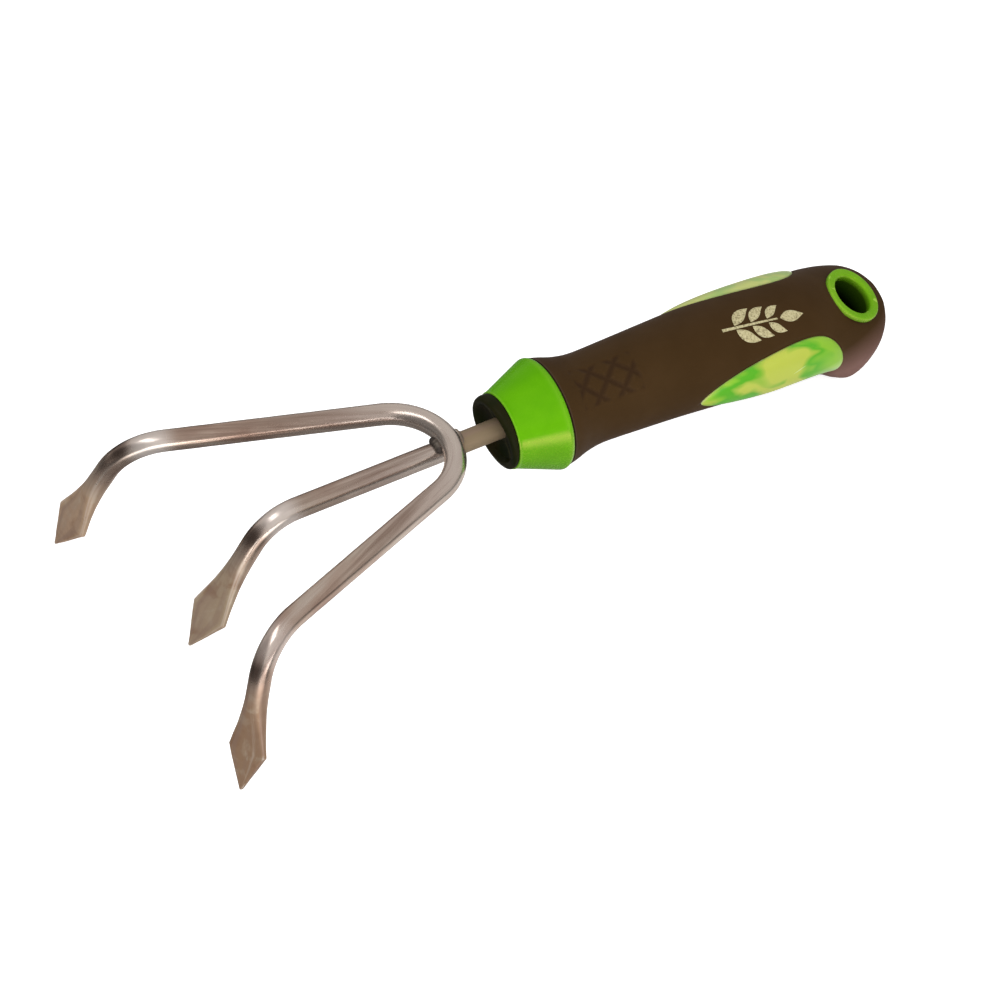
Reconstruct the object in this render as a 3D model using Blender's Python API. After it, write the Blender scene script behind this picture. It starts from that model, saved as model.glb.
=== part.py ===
"""Hand cultivator: three steel tines on a short shaft, set in a two-colour moulded grip.

The shaft runs along +X with its tines at the low end and the butt of the grip at the high end.
+Z is up when the tool lies on its tine tips. Lengths below are in millimetres, times MM.
"""

import bmesh
import bpy
from math import acos, atan2, cos, pi, radians, sin, sqrt, tan
from mathutils import Matrix, Vector

MM = 0.001
GAP = 0.3 * MM  # clearance left between neighbouring pieces

# Steel rods
ROD_R = 3.5 * MM
ROD_SIDES = 16
ROD_SHIFT = Vector((0, 0.3, 1.05)) * MM  # the rods sit a little off the handle's axis

# Middle tine, one rod from its tip to the tang inside the grip
TANG_END_X = 86 * MM
MID_BEND_X = -81.4 * MM
MID_BEND_R = 18.3 * MM
MID_HOOK_ANGLE = radians(56.7)  # below the shaft's line
MID_HOOK_LENGTH = 50.3 * MM

# Outer tines, one rod bent into a U that lies over the middle rod
BOW_APEX_X = 20.0 * MM  # where the straight legs would meet
BOW_Z = 5.6 * MM
BOW_R = 20.0 * MM
LEG_SPREAD = radians(20.0)
LEG_SLOPE = radians(0.9)
LEG_LENGTH = 134.8 * MM
OUTER_BEND_R = 20.0 * MM
# Each outer hook, by side: its angle below the leg, its length, and how far it turns outwards
OUTER_HOOKS = {
    -1: (radians(65.1), 49.9 * MM, radians(19.2)),
    1: (radians(64.1), 52.2 * MM, radians(16.7)),
}

# Flattened arrow-shaped tine ends
BLADE_HALF_WIDTH = 7.0 * MM
BLADE_HALF_THICKNESS = 1.35 * MM
POINT_LENGTH = 13.0 * MM
POINT_HALF_WIDTH = 0.45 * MM
POINT_HALF_THICKNESS = 0.7 * MM
BLADE_SHARE = 0.85  # share of the hook that is drawn out of round
MID_BLADE_TWIST = radians(15)  # the blades are forged by hand, each a little turned
NEAR_BLADE_TWIST = radians(3)
FAR_BLADE_TWIST = radians(24)

# Flats on the tang that key it in the grip
WING_X = 70 * MM
WING_LENGTH = 16 * MM
WING_HALF_WIDTH = 5.2 * MM
WING_HALF_THICKNESS = 2.2 * MM

# Weld beads where the U crosses the middle rod
BEAD_R = 2.2 * MM
BEAD_OFFSET = 4.3 * MM
BEAD_HALF_ANGLE = radians(62)

# Front collar and the dark nose cap in its mouth
COLLAR_FRONT_X = 0.4 * MM
COLLAR_REAR_X = 17.2 * MM
COLLAR_FRONT_R = 13.2 * MM
COLLAR_REAR_R = 18.5 * MM
COLLAR_LIP = 1.2 * MM
MOUTH_R = 12.0 * MM
NOSE_FRONT_X = -2.2 * MM
NOSE_REAR_X = 6.5 * MM
NOSE_R = 12.5 * MM
NOSE_ROUNDING = 1.5 * MM
NOSE_DISH_X = 0.4 * MM  # bottom of the dish round the shaft
NOSE_DISH_R = 10.0 * MM
NOSE_SLANT = Vector((0, -0.055, -0.09))  # how the cap's face leans, as x gained per y and z
SPIGOT_R = 10.6 * MM

# Grip: half width, top, widest level and bottom of its section at stations along X
GRIP_STATIONS = [
    (17.5, 17.9, 17.9, 0.0, -17.9),
    (20.5, 17.2, 16.9, -0.3, -17.1),
    (25.5, 15.8, 15.2, -0.8, -15.8),
    (32.0, 15.0, 14.1, -1.2, -15.7),
    (44.0, 15.4, 13.7, -1.9, -16.0),
    (60.0, 16.1, 13.3, -2.8, -17.4),
    (76.0, 17.0, 11.6, -4.3, -19.2),
    (92.0, 17.6, 9.1, -6.9, -20.9),
    (106.0, 17.6, 6.2, -8.9, -21.8),
    (114.0, 17.8, 4.2, -11.6, -24.2),
    (120.0, 18.8, 1.9, -16.0, -29.3),
    (126.0, 19.4, -0.6, -19.4, -31.9),
    (132.0, 18.0, -3.4, -17.8, -28.4),
    (137.5, 14.8, -6.2, -14.2, -22.0),
    (141.5, 10.0, -8.3, -11.6, -16.2),
    (143.9, 4.4, -9.6, -10.5, -12.0),
    (144.4, 0.3, -10.3, -10.5, -10.7),
]
GRIP_TURN = radians(20)  # the grip sits turned on the shaft, its top towards -Y
GRIP_WALL = 3.4 * MM
GRIP_RINGS = 38
GRIP_SIDES = 40
CORE_END_X = 110 * MM

# Gel pads: leaf shapes on the grip's flanks
PAD_FRONT_X = 65.5 * MM
PAD_REAR_X = 120.5 * MM
# Its middle line's angle from the top of the section, in front and behind, by side
PAD_ANGLES = {-1: (radians(83), radians(67)), 1: (radians(90), radians(74))}
PAD_FRONT_SPREAD = radians(30)  # half of what it covers round the section
PAD_REAR_SPREAD = radians(35)
PAD_DEPTH = 2.0 * MM
PAD_BULGE = 1.2 * MM
PAD_SKIN_R = 17 * MM  # the flank's radius, which turns a gap into an angle

# Hang hole eyelet, square to the sloping end of the grip
EYELET_X = 132.6 * MM
EYELET_TILT = radians(26)
EYELET_RIM_R = 10.0 * MM
EYELET_TUBE_R = 8.6 * MM
EYELET_HOLE_R = 7.0 * MM
EYELET_RIM_DEPTH = 1.6 * MM
EYELET_PROUD = 0.5 * MM

STEEL = ("steel", (0.42, 0.37, 0.33), 0.25, 1.0)
WELD = ("weld_steel", (0.20, 0.17, 0.15), 0.45, 1.0)
GREEN = ("green_plastic", (0.12, 0.43, 0.02), 0.25, 0.0)
DARK = ("dark_plastic", (0.02, 0.03, 0.01), 0.5, 0.0)
BROWN = ("brown_rubber", (0.065, 0.035, 0.022), 0.65, 0.0)
GEL = ("green_gel", (0.42, 0.62, 0.08), 0.2, 0.0)


def clear_scene():
    for old in list(bpy.data.objects):
        bpy.data.objects.remove(old, do_unlink=True)


def material(name, colour, roughness, metallic):
    """One Principled material, shared by the pieces that use it."""
    found = bpy.data.materials.get(name)
    if found:
        return found
    made = bpy.data.materials.new(name)
    made.use_nodes = True
    shader = made.node_tree.nodes["Principled BSDF"]
    shader.inputs["Base Color"].default_value = (*colour, 1.0)
    shader.inputs["Roughness"].default_value = roughness
    shader.inputs["Metallic"].default_value = metallic
    return made


def add_rod_object(name, bm, look):
    """Adds an object built in the rods' own frame, at its place on the handle."""
    bm.transform(Matrix.Translation(ROD_SHIFT))
    return add_object(name, bm, look)


def add_object(name, bm, look, sharp=35):
    """Turns a bmesh into a named object with outward faces and smooth shading."""
    bmesh.ops.recalc_face_normals(bm, faces=bm.faces)
    mesh = bpy.data.meshes.new(name)
    bm.to_mesh(mesh)
    bm.free()
    mesh.shade_smooth()
    mesh.set_sharp_from_angle(angle=radians(sharp))
    mesh.materials.append(material(*look))
    made = bpy.data.objects.new(name, mesh)
    bpy.context.collection.objects.link(made)
    return made


def hide_cutter(cutter):
    cutter.hide_render = True
    cutter.display_type = "WIRE"


def boolean(target, cutter, operation="DIFFERENCE"):
    hide_cutter(cutter)
    step = target.modifiers.new(cutter.name, "BOOLEAN")
    step.operation = operation
    step.solver = "EXACT"
    step.object = cutter


def loft(rings, close_ends=True):
    """Skins rings of equal length into a closed bmesh."""
    bm = bmesh.new()
    loops = [[bm.verts.new(point) for point in ring] for ring in rings]
    count = len(loops[0])
    for low, high in zip(loops, loops[1:]):
        for i in range(count):
            j = (i + 1) % count
            bm.faces.new((low[i], low[j], high[j], high[i]))
    if close_ends:
        for end in (loops[0], loops[-1]):
            middle = bm.verts.new(sum((v.co for v in end), Vector()) / count)
            for i in range(count):
                bm.faces.new((end[i], end[(i + 1) % count], middle))
    return bm


def revolve(profile, sides, closed=True):
    """Turns (x, radius) points about the X axis; a closed profile makes a ring."""
    rings = []
    for x, r in profile:
        turn = [2 * pi * i / sides for i in range(sides)]
        rings.append([Vector((x, r * cos(a), r * sin(a))) for a in turn])
    if closed:
        rings.append(rings[0])
    bm = loft(rings, close_ends=not closed)
    bmesh.ops.remove_doubles(bm, verts=bm.verts, dist=1e-7)
    return bm


def arc(centre, radius, start, end, steps):
    """(x, r) points on an arc between two angles."""
    angles = [start + (end - start) * i / steps for i in range(steps + 1)]
    return [(centre[0] + radius * cos(a), centre[1] + radius * sin(a)) for a in angles]


# Rods: a path is a list of (point, width direction, distance to the tip)


def bend(before, corner, after, radius, steps):
    """Points round a corner, on an arc tangent to both straights."""
    a = (before - corner).normalized()
    b = (after - corner).normalized()
    half = acos(max(-1.0, min(1.0, a.dot(b)))) / 2
    centre = corner + (a + b).normalized() * (radius / sin(half))
    u = corner + a * (radius / tan(half)) - centre
    w = corner + b * (radius / tan(half)) - centre
    sweep = pi - 2 * half
    v = (w - u * cos(sweep)) / sin(sweep)
    turns = [sweep * i / steps for i in range(steps + 1)]
    return [centre + u * cos(t) + v * sin(t) for t in turns]


def line(start, end, steps):
    return [start.lerp(end, i / steps) for i in range(steps + 1)]


def join_paths(*parts):
    """Joins point lists, leaving out points that repeat."""
    out = []
    for part in parts:
        for point in part:
            if not out or (point - out[-1]).length > 0.05 * MM:
                out.append(point)
    return out


def smooth(t):
    t = max(0.0, min(1.0, t))
    return t * t * (3 - 2 * t)


def blade_section(to_tip, hook_length):
    """Half width, half thickness and squareness of the rod at a distance from its tip."""
    drawn = hook_length * BLADE_SHARE
    if to_tip >= drawn:
        return ROD_R, ROD_R, 0.0
    if to_tip > POINT_LENGTH:
        t = (drawn - to_tip) / (drawn - POINT_LENGTH)
        wide = ROD_R + (BLADE_HALF_WIDTH - ROD_R) * t**1.5
        thick = ROD_R + (BLADE_HALF_THICKNESS - ROD_R) * smooth(t)
        return wide, thick, smooth(t)
    t = to_tip / POINT_LENGTH
    wide = POINT_HALF_WIDTH + (BLADE_HALF_WIDTH - POINT_HALF_WIDTH) * t
    thick = POINT_HALF_THICKNESS + (BLADE_HALF_THICKNESS - POINT_HALF_THICKNESS) * smooth(t)
    return wide, thick, 1.0


def twisted(across, along, angle, to_tip, hook_length):
    """The width direction at a distance from the tip, turned by the blade's twist."""
    share = smooth((hook_length - to_tip) / (hook_length - POINT_LENGTH))
    return Matrix.Rotation(angle * share, 3, along) @ across


def rod_ring(point, tangent, across, wide, thick, square):
    """One section of a rod: round, or squared towards a flat blade."""
    across = (across - tangent * across.dot(tangent)).normalized()
    up = tangent.cross(across)
    power = 1.0 - 0.45 * square
    ring = []
    for i in range(ROD_SIDES):
        a = 2 * pi * i / ROD_SIDES
        c = cos(a)
        s = sin(a)
        x = abs(c) ** power * (1 if c >= 0 else -1)
        y = abs(s) ** power * (1 if s >= 0 else -1)
        ring.append(point + across * (wide * x) + up * (thick * y))
    return ring


def tangents(points):
    out = []
    for i in range(len(points)):
        before = points[max(0, i - 1)]
        after = points[min(len(points) - 1, i + 1)]
        out.append((after - before).normalized())
    return out


def hook_steps(length):
    """Distances from the tip at which the hook gets a section."""
    point = [0.0, 0.25, 0.5, 0.75, 0.93, 1.0]
    near = [POINT_LENGTH * p for p in point]
    body = [POINT_LENGTH + (length - POINT_LENGTH) * i / 9 for i in range(1, 10)]
    return near + body


def mid_tine_bmesh(grow=0.0):
    """The middle rod, tip to tang; grow swells it into a clearance cutter."""
    corner = Vector((MID_BEND_X, 0, 0))
    down = Vector((-cos(MID_HOOK_ANGLE), 0, -sin(MID_HOOK_ANGLE)))
    tip = corner + down * MID_HOOK_LENGTH
    turn = bend(tip, corner, Vector((TANG_END_X, 0, 0)), MID_BEND_R, 9)
    hook_end = (turn[0] - tip).length
    hook = [tip - down * d for d in hook_steps(hook_end)]
    stations = [WING_X + WING_LENGTH * i / 8 for i in range(9)]
    tang = [Vector((x, 0, 0)) for x in (-30 * MM, 20 * MM, *stations[:-1], TANG_END_X)]
    points = join_paths(hook, turn, tang)
    rings = []
    across = Vector((0, 1, 0))
    for point, along in zip(points, tangents(points)):
        to_tip = (point - tip).length
        wide, thick, square = blade_section(to_tip, hook_end)
        turned_across = twisted(across, along, MID_BLADE_TWIST, to_tip, hook_end)
        if point.x >= WING_X:
            swell = smooth((point.x - WING_X) / (0.3 * WING_LENGTH))
            wide = ROD_R + (WING_HALF_WIDTH - ROD_R) * swell
            thick = ROD_R + (WING_HALF_THICKNESS - ROD_R) * swell
        rings.append(rod_ring(point, along, turned_across, wide + grow, thick + grow, square))
    if grow:
        rings.append([v + Vector((grow, 0, 0)) for v in rings[-1]])
    return loft(rings)


def outer_tine_half(side):
    """Points and width directions from the bow's apex to one outer tip."""
    apex = Vector((BOW_APEX_X, 0, BOW_Z))
    leg = Vector((
        -cos(LEG_SPREAD) * cos(LEG_SLOPE),
        side * sin(LEG_SPREAD) * cos(LEG_SLOPE),
        -sin(LEG_SLOPE),
    ))
    twin = Vector((leg.x, -leg.y, leg.z))
    corner = apex + leg * LEG_LENGTH
    angle, length, toe_out = OUTER_HOOKS[side]
    heading = LEG_SPREAD + toe_out
    hook = Vector((-cos(heading) * cos(angle), side * sin(heading) * cos(angle), -sin(angle)))
    tip = corner + hook * length
    bow = bend(apex + twin * LEG_LENGTH, apex, corner, BOW_R, 24)[12:]
    turn = bend(apex, corner, tip, OUTER_BEND_R, 9)
    hook_end = (turn[-1] - tip).length
    blade = [tip - hook * d for d in reversed(hook_steps(hook_end))]
    bow_normal = Vector((0, 0, 1))
    hook_normal = leg.cross(hook).normalized() * -side
    straight = line(bow[-1], turn[0], 6)
    out = []
    for p in bow:
        out.append((p, bow_normal))
    for i, p in enumerate(straight[1:-1], start=1):
        out.append((p, bow_normal.slerp(hook_normal, i / 6)))
    for p in join_paths(turn, blade):
        out.append((p, hook_normal))
    return out, tip, hook_end


def outer_tines_bmesh(grow=0.0):
    """The U-shaped rod with an arrow blade at each end."""
    near, near_tip, near_end = outer_tine_half(-1)
    far, far_tip, far_end = outer_tine_half(1)
    # the far half is walked backwards, so its width directions are the mirror of the near one's
    path = list(reversed(far)) + near[1:]
    points = [p for p, _ in path]
    rings = []
    for i, (point, across) in enumerate(path):
        along = tangents(points)[i]
        is_far = i < len(far)
        to_tip = (point - (far_tip if is_far else near_tip)).length
        hook_end = far_end if is_far else near_end
        twist = FAR_BLADE_TWIST if is_far else -NEAR_BLADE_TWIST
        across = twisted(across, along, twist, to_tip, hook_end)
        wide, thick, square = blade_section(to_tip, hook_end)
        rings.append(rod_ring(point, along, across, wide + grow, thick + grow, square))
    return loft(rings)


def build_tines():
    mid = add_rod_object("centre_tine", mid_tine_bmesh(), STEEL)
    outer = add_rod_object("outer_tines", outer_tines_bmesh(), STEEL)
    saddle = add_rod_object("saddle_cutter", rod_cutter_bmesh(ROD_R + GAP), STEEL)
    boolean(outer, saddle)
    return mid, outer


def rod_cutter_bmesh(radius):
    """A straight rod along the shaft, under the bow only."""
    ends = (-60 * MM, 30 * MM)
    return revolve([(ends[0], radius), (ends[1], radius)], 2 * ROD_SIDES, closed=False)


def bead_bmesh(side):
    """A weld bead laid over the middle rod, against one side of the bow."""
    centre_x = bow_apex_x() + side * BEAD_OFFSET
    points = []
    steps = 16
    for i in range(steps + 1):
        a = -BEAD_HALF_ANGLE + 2 * BEAD_HALF_ANGLE * i / steps
        reach = ROD_R + 0.7 * MM
        follow = BOW_R - sqrt(BOW_R**2 - (reach * sin(a)) ** 2)
        points.append(Vector((centre_x - follow, reach * sin(a), reach * cos(a))))
    rings = []
    for i, (point, along) in enumerate(zip(points, tangents(points))):
        t = 2 * i / steps - 1
        r = BEAD_R * sqrt(max(0.04, 1 - t**4))
        rings.append(rod_ring(point, along, Vector((1, 0, 0)), r, r, 0.0))
    return loft(rings)


def bow_apex_x():
    """Where the bow's centre line crosses over the shaft."""
    half = LEG_SPREAD
    return BOW_APEX_X - BOW_R / sin(half) + BOW_R


def build_beads():
    grown_mid = add_rod_object("mid_clearance", rod_cutter_bmesh(ROD_R + GAP), WELD)
    grown_outer = add_rod_object("bow_clearance", outer_tines_bmesh(GAP), WELD)
    for name, side in (("weld_bead_front", -1), ("weld_bead_rear", 1)):
        bead = add_rod_object(name, bead_bmesh(side), WELD)
        boolean(bead, grown_mid)
        boolean(bead, grown_outer)


def build_collar():
    """A flared ferrule with rounded lips, bored for the nose cap and the core's spigot."""
    lip = COLLAR_LIP / 2
    front = COLLAR_FRONT_X
    step_x = NOSE_REAR_X + GAP
    brink = COLLAR_REAR_X - 2 * MM
    round_off = 0.6 * MM
    profile = arc((front + lip, MOUTH_R + lip), lip, radians(270), radians(100), 6)
    profile.append((brink, COLLAR_REAR_R - 0.35 * MM))
    profile.append((brink + 0.35 * MM, COLLAR_REAR_R))
    profile.append((COLLAR_REAR_X - round_off, COLLAR_REAR_R))
    profile.append((COLLAR_REAR_X, COLLAR_REAR_R - round_off))
    profile += [(COLLAR_REAR_X, SPIGOT_R + GAP), (step_x, SPIGOT_R + GAP), (step_x, MOUTH_R)]
    return add_object("front_collar", revolve(profile, 48), GREEN)


def slant_share(place):
    """How fully a point of the cap follows its slanted face: all of the dish, none at the collar."""
    if place.x > 2 * MM:
        return 0.0
    if place.yz.length < NOSE_DISH_R + GAP:
        return 1.0
    return max(0.0, min(1.0, (-GAP - place.x) / (-GAP - NOSE_FRONT_X)))


def build_nose():
    """The dark cap in the collar's mouth: a rounded rim and a dish that the shaft enters."""
    neck = MOUTH_R - GAP
    edge = NOSE_ROUNDING
    profile = [(NOSE_REAR_X, neck), (COLLAR_FRONT_X, neck), (-0.3 * MM, NOSE_R)]
    profile += arc((NOSE_FRONT_X + edge, NOSE_R - edge), edge, radians(90), radians(180), 4)
    profile.append((NOSE_FRONT_X + 0.3 * MM, NOSE_DISH_R))
    profile.append((NOSE_DISH_X - 0.4 * MM, 0.75 * NOSE_DISH_R))
    profile.append((NOSE_DISH_X, ROD_R + 2 * MM))
    bm = revolve(profile, 44, closed=False)
    for vertex in bm.verts:
        vertex.co.x += vertex.co.dot(NOSE_SLANT) * slant_share(vertex.co)
    nose = add_object("nose_cap", bm, DARK)
    boolean(nose, add_rod_object("shaft_bore", rod_cutter_bmesh(ROD_R + GAP), DARK))
    return nose


# Grip


def spline(stations, t):
    """Catmull-Rom curve through the stations, at a parameter counted in stations."""
    i = min(int(t), len(stations) - 2)
    f = t - i
    p1 = stations[i]
    p2 = stations[i + 1]
    p0 = stations[i - 1] if i else [2 * a - b for a, b in zip(p1, p2)]
    p3 = stations[i + 2] if i + 2 < len(stations) else [2 * b - a for a, b in zip(p1, p2)]
    out = []
    for a, b, c, d in zip(p0, p1, p2, p3):
        out.append(0.5 * (2 * b + (c - a) * f + (2 * a - 5 * b + 4 * c - d) * f**2
                          + (3 * b - a - 3 * c + d) * f**3))
    return out


def grip_section(x):
    """Half width, top, widest level and bottom of the grip at x, in metres."""
    low = 0.0
    high = len(GRIP_STATIONS) - 1.0
    for _ in range(40):
        middle = (low + high) / 2
        if spline(GRIP_STATIONS, middle)[0] * MM < x:
            low = middle
        else:
            high = middle
    return [v * MM for v in spline(GRIP_STATIONS, low)]


def grip_point(section, angle, inset=0.0):
    """A point of the section at an angle from its top, +Y side positive, inset from the skin."""
    x, wide, top, level, bottom = section
    reach = top - level if cos(angle) >= 0 else level - bottom
    y = (wide - inset) * sin(angle)
    z = level + (reach - inset) * cos(angle)
    return turned(Vector((x, y, z)))


def turned(point):
    """Turns a point with the grip about the shaft."""
    return Matrix.Rotation(GRIP_TURN, 3, "X") @ point


def grip_ring(section, inset=0.0, sides=GRIP_SIDES):
    return [grip_point(section, 2 * pi * i / sides, inset) for i in range(sides)]


def grip_skin_bmesh():
    """The grip's whole outer shape as one solid."""
    last = len(GRIP_STATIONS) - 1
    rings = []
    for i in range(GRIP_RINGS + 1):
        section = [v * MM for v in spline(GRIP_STATIONS, last * i / GRIP_RINGS)]
        rings.append(grip_ring(section))
    return loft(rings)


def grip_inside_bmesh(inset, start, end, steps=14):
    """The space inside the grip's wall between two places along the shaft."""
    rings = []
    for i in range(steps + 1):
        x = start + (end - start) * i / steps
        section = grip_section(max(x, GRIP_STATIONS[0][0] * MM))
        section[0] = x
        rings.append(grip_ring(section, inset, 36))
    return loft(rings)


def pad_outline(side, steps=22, grow=0.0):
    """(x, angle) points round a gel pad: pointed in front, round behind."""
    length = PAD_REAR_X - PAD_FRONT_X + 2 * grow
    front, rear = PAD_ANGLES[side]
    upper = []
    lower = []
    for i in range(steps + 1):
        u = (1 - cos(pi * i / steps)) / 2
        x = PAD_FRONT_X - grow + length * u
        middle = front + (rear - front) * u
        fullness = (1 - (1 - u) ** 4) ** 0.6 * sqrt(1 - u**8)
        half = PAD_FRONT_SPREAD + (PAD_REAR_SPREAD - PAD_FRONT_SPREAD) * u
        spread = (half + grow / PAD_SKIN_R) * fullness
        upper.append((x, middle - spread))
        lower.append((x, middle + spread))
    return upper + lower[-2:0:-1]


def pad_bmesh(side, outside, inside, bulge, grow=0.0):
    """A leaf-shaped solid that follows the grip's skin on one flank."""
    outline = pad_outline(side, grow=grow)
    front, rear = PAD_ANGLES[side]
    centre = (0.6 * PAD_REAR_X + 0.4 * PAD_FRONT_X, 0.6 * rear + 0.4 * front)
    shares = (0.3, 0.6, 0.82, 0.95, 1.0)
    bm = bmesh.new()
    loops = []
    for depth, crown in ((inside, 0.0), (outside, bulge)):
        layer = []
        for share in shares:
            lift = depth + crown * (1 - share**4)
            ring = []
            for x, angle in outline:
                px = centre[0] + (x - centre[0]) * share
                pa = centre[1] + (angle - centre[1]) * share
                ring.append(bm.verts.new(grip_point(grip_section(px), side * pa, -lift)))
            layer.append(ring)
        hub = bm.verts.new(grip_point(grip_section(centre[0]), side * centre[1], -(depth + crown)))
        loops.append((layer, hub))
    count = len(outline)
    for layer, hub in loops:
        for i in range(count):
            j = (i + 1) % count
            bm.faces.new((layer[0][i], layer[0][j], hub))
            for low, high in zip(layer, layer[1:]):
                bm.faces.new((low[i], low[j], high[j], high[i]))
    for i in range(count):
        j = (i + 1) % count
        below = loops[0][0][-1]
        above = loops[1][0][-1]
        bm.faces.new((below[i], below[j], above[j], above[i]))
    return bm


def eyelet_frame():
    """Turns and moves an X-axis revolve so its axis stands on the grip's sloping end."""
    section = grip_section(EYELET_X)
    seat = Matrix.Translation((EYELET_X, 0, section[2] + EYELET_PROUD))
    upright = Matrix.Rotation(EYELET_TILT - pi / 2, 4, "Y")
    return Matrix.Rotation(GRIP_TURN, 4, "X") @ seat @ upright


def eyelet_bmesh(grow=0.0, solid=False):
    """A flanged tube along the hang hole; solid fills its bore for use as a cutter."""
    length = 50 * MM
    rim = EYELET_RIM_R + grow
    tube = EYELET_TUBE_R + grow
    under = -EYELET_RIM_DEPTH - grow
    if solid:
        profile = [(-length, tube), (under, tube), (under, rim), (6 * MM, rim)]
        bm = revolve(profile, 40, closed=False)
    else:
        edge = 0.35 * MM
        mouth = EYELET_HOLE_R
        profile = [(-length, mouth), (-length, tube), (under, tube), (under, rim)]
        profile += [(-edge, rim), (0, rim - edge), (0, mouth + edge), (-edge, mouth)]
        bm = revolve(profile, 40)
    bm.transform(eyelet_frame())
    return bm


def build_grip():
    """The brown overmould, hollow for the core and pocketed for the pads and the eyelet."""
    sleeve = add_object("grip_sleeve", grip_skin_bmesh(), BROWN, sharp=60)
    hollow = grip_inside_bmesh(GRIP_WALL, 10 * MM, CORE_END_X)
    boolean(sleeve, add_object("grip_hollow", hollow, BROWN))
    for side in (-1, 1):
        pocket = pad_bmesh(side, 4 * MM, -(PAD_DEPTH + GAP), 0.0, grow=GAP)
        boolean(sleeve, add_object(f"pad_pocket_{side + 1}", pocket, BROWN))
    boolean(sleeve, add_object("eyelet_bore", eyelet_bmesh(GAP, solid=True), BROWN))
    return sleeve


def build_pads():
    for name, side in (("gel_pad_left", -1), ("gel_pad_right", 1)):
        add_object(name, pad_bmesh(side, 0.25 * MM, -PAD_DEPTH, PAD_BULGE), GEL, sharp=50)


def build_eyelet():
    eyelet = add_object("hang_hole_eyelet", eyelet_bmesh(), GREEN)
    skin = add_object("eyelet_trim", eyelet_trim_bmesh(), GREEN)
    boolean(eyelet, skin, "INTERSECT")
    return eyelet


def eyelet_trim_bmesh():
    """The grip's skin, swollen a little, that trims the eyelet's lower end."""
    last = len(GRIP_STATIONS) - 1
    rings = []
    for i in range(GRIP_RINGS + 1):
        section = [v * MM for v in spline(GRIP_STATIONS, last * i / GRIP_RINGS)]
        section[2] += 8 * MM
        section[1] += 6 * MM
        section[0] += 6 * MM * smooth((section[0] - 130 * MM) / (12 * MM))
        rings.append(grip_ring(section, 0.2 * MM))
    return loft(rings)


def build_core():
    """The hard core under the overmould, with a spigot into the collar and a tang socket."""
    start = GRIP_STATIONS[0][0] * MM
    inset = GRIP_WALL + GAP
    end = CORE_END_X - GAP
    core = add_object("handle_core", grip_inside_bmesh(inset, start, end), GREEN)
    spigot_x = NOSE_REAR_X + 2 * GAP
    spigot = revolve([(spigot_x, SPIGOT_R), (start + 4 * MM, SPIGOT_R)], 44, closed=False)
    boolean(core, add_object("core_spigot", spigot, GREEN), "UNION")
    boolean(core, add_rod_object("tang_socket", mid_tine_bmesh(GAP), GREEN))
    return core


def stand_on_floor():
    """Moves every object so the tool's box stands on z = 0, centred on the origin."""
    bpy.context.view_layer.update()
    corners = []
    graph = bpy.context.evaluated_depsgraph_get()
    pieces = [o for o in bpy.data.objects if o.type == "MESH" and not o.hide_render]
    for piece in pieces:
        seen = piece.evaluated_get(graph)
        corners += [seen.matrix_world @ v.co for v in seen.data.vertices]
    low = [min(c[i] for c in corners) for i in range(3)]
    high = [max(c[i] for c in corners) for i in range(3)]
    anchor = bpy.data.objects.new("tool_frame", None)
    bpy.context.collection.objects.link(anchor)
    for o in list(bpy.data.objects):
        if o is not anchor:
            o.parent = anchor
    anchor.location = (-(low[0] + high[0]) / 2, -(low[1] + high[1]) / 2, -low[2])


def main():
    clear_scene()
    build_tines()
    build_beads()
    build_collar()
    build_nose()
    build_core()
    build_grip()
    build_pads()
    build_eyelet()
    stand_on_floor()


main()
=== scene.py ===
"""Looks of a hand cultivator: forged steel tines in a two-colour soft-grip handle.

Every piece is built in the handle's frame: its axis is X with the tines towards -X, Z is up and
the front lip of the collar is close to x = 0. Lengths in that frame are millimetres times MM.
"""

from math import acos, atan2, cos, pi, radians, sin, sqrt, tan

import bmesh
import bpy
from mathutils import Matrix, Vector, noise


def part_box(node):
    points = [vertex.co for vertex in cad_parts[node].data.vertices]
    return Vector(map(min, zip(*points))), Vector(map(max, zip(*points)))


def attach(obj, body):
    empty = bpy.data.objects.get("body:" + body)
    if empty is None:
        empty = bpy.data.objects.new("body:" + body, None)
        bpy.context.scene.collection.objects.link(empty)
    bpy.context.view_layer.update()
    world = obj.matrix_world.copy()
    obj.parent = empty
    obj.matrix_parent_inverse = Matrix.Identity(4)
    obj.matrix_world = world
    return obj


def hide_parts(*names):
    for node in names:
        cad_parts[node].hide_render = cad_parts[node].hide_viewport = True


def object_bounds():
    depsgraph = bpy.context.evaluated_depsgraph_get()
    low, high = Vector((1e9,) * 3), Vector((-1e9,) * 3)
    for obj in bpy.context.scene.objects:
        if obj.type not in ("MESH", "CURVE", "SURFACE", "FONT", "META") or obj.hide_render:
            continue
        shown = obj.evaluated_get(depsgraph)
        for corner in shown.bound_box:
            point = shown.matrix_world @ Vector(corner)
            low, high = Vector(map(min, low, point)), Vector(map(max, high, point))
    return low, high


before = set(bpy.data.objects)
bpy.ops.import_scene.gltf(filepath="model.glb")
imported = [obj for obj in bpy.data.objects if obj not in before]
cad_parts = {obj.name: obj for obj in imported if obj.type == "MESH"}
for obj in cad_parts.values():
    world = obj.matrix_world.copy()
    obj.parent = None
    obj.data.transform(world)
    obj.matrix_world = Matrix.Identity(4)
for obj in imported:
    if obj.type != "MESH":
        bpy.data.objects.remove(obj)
cad_low, cad_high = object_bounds()

MM = 0.001

# Steel rods
ROD_R = 3.5 * MM
ROD_SIDES = 48
ROD_STEP = 1.2 * MM  # spacing of the sections along a rod
BEND_STEPS = 20
BOW_STEPS = 30  # from the bow's apex to one leg
ROD_SHIFT = Vector((0, 0.3, 1.05)) * MM  # the rods sit a little off the handle's axis
SADDLE_GAP = 0.05 * MM  # left between the two rods where one lies over the other

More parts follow.
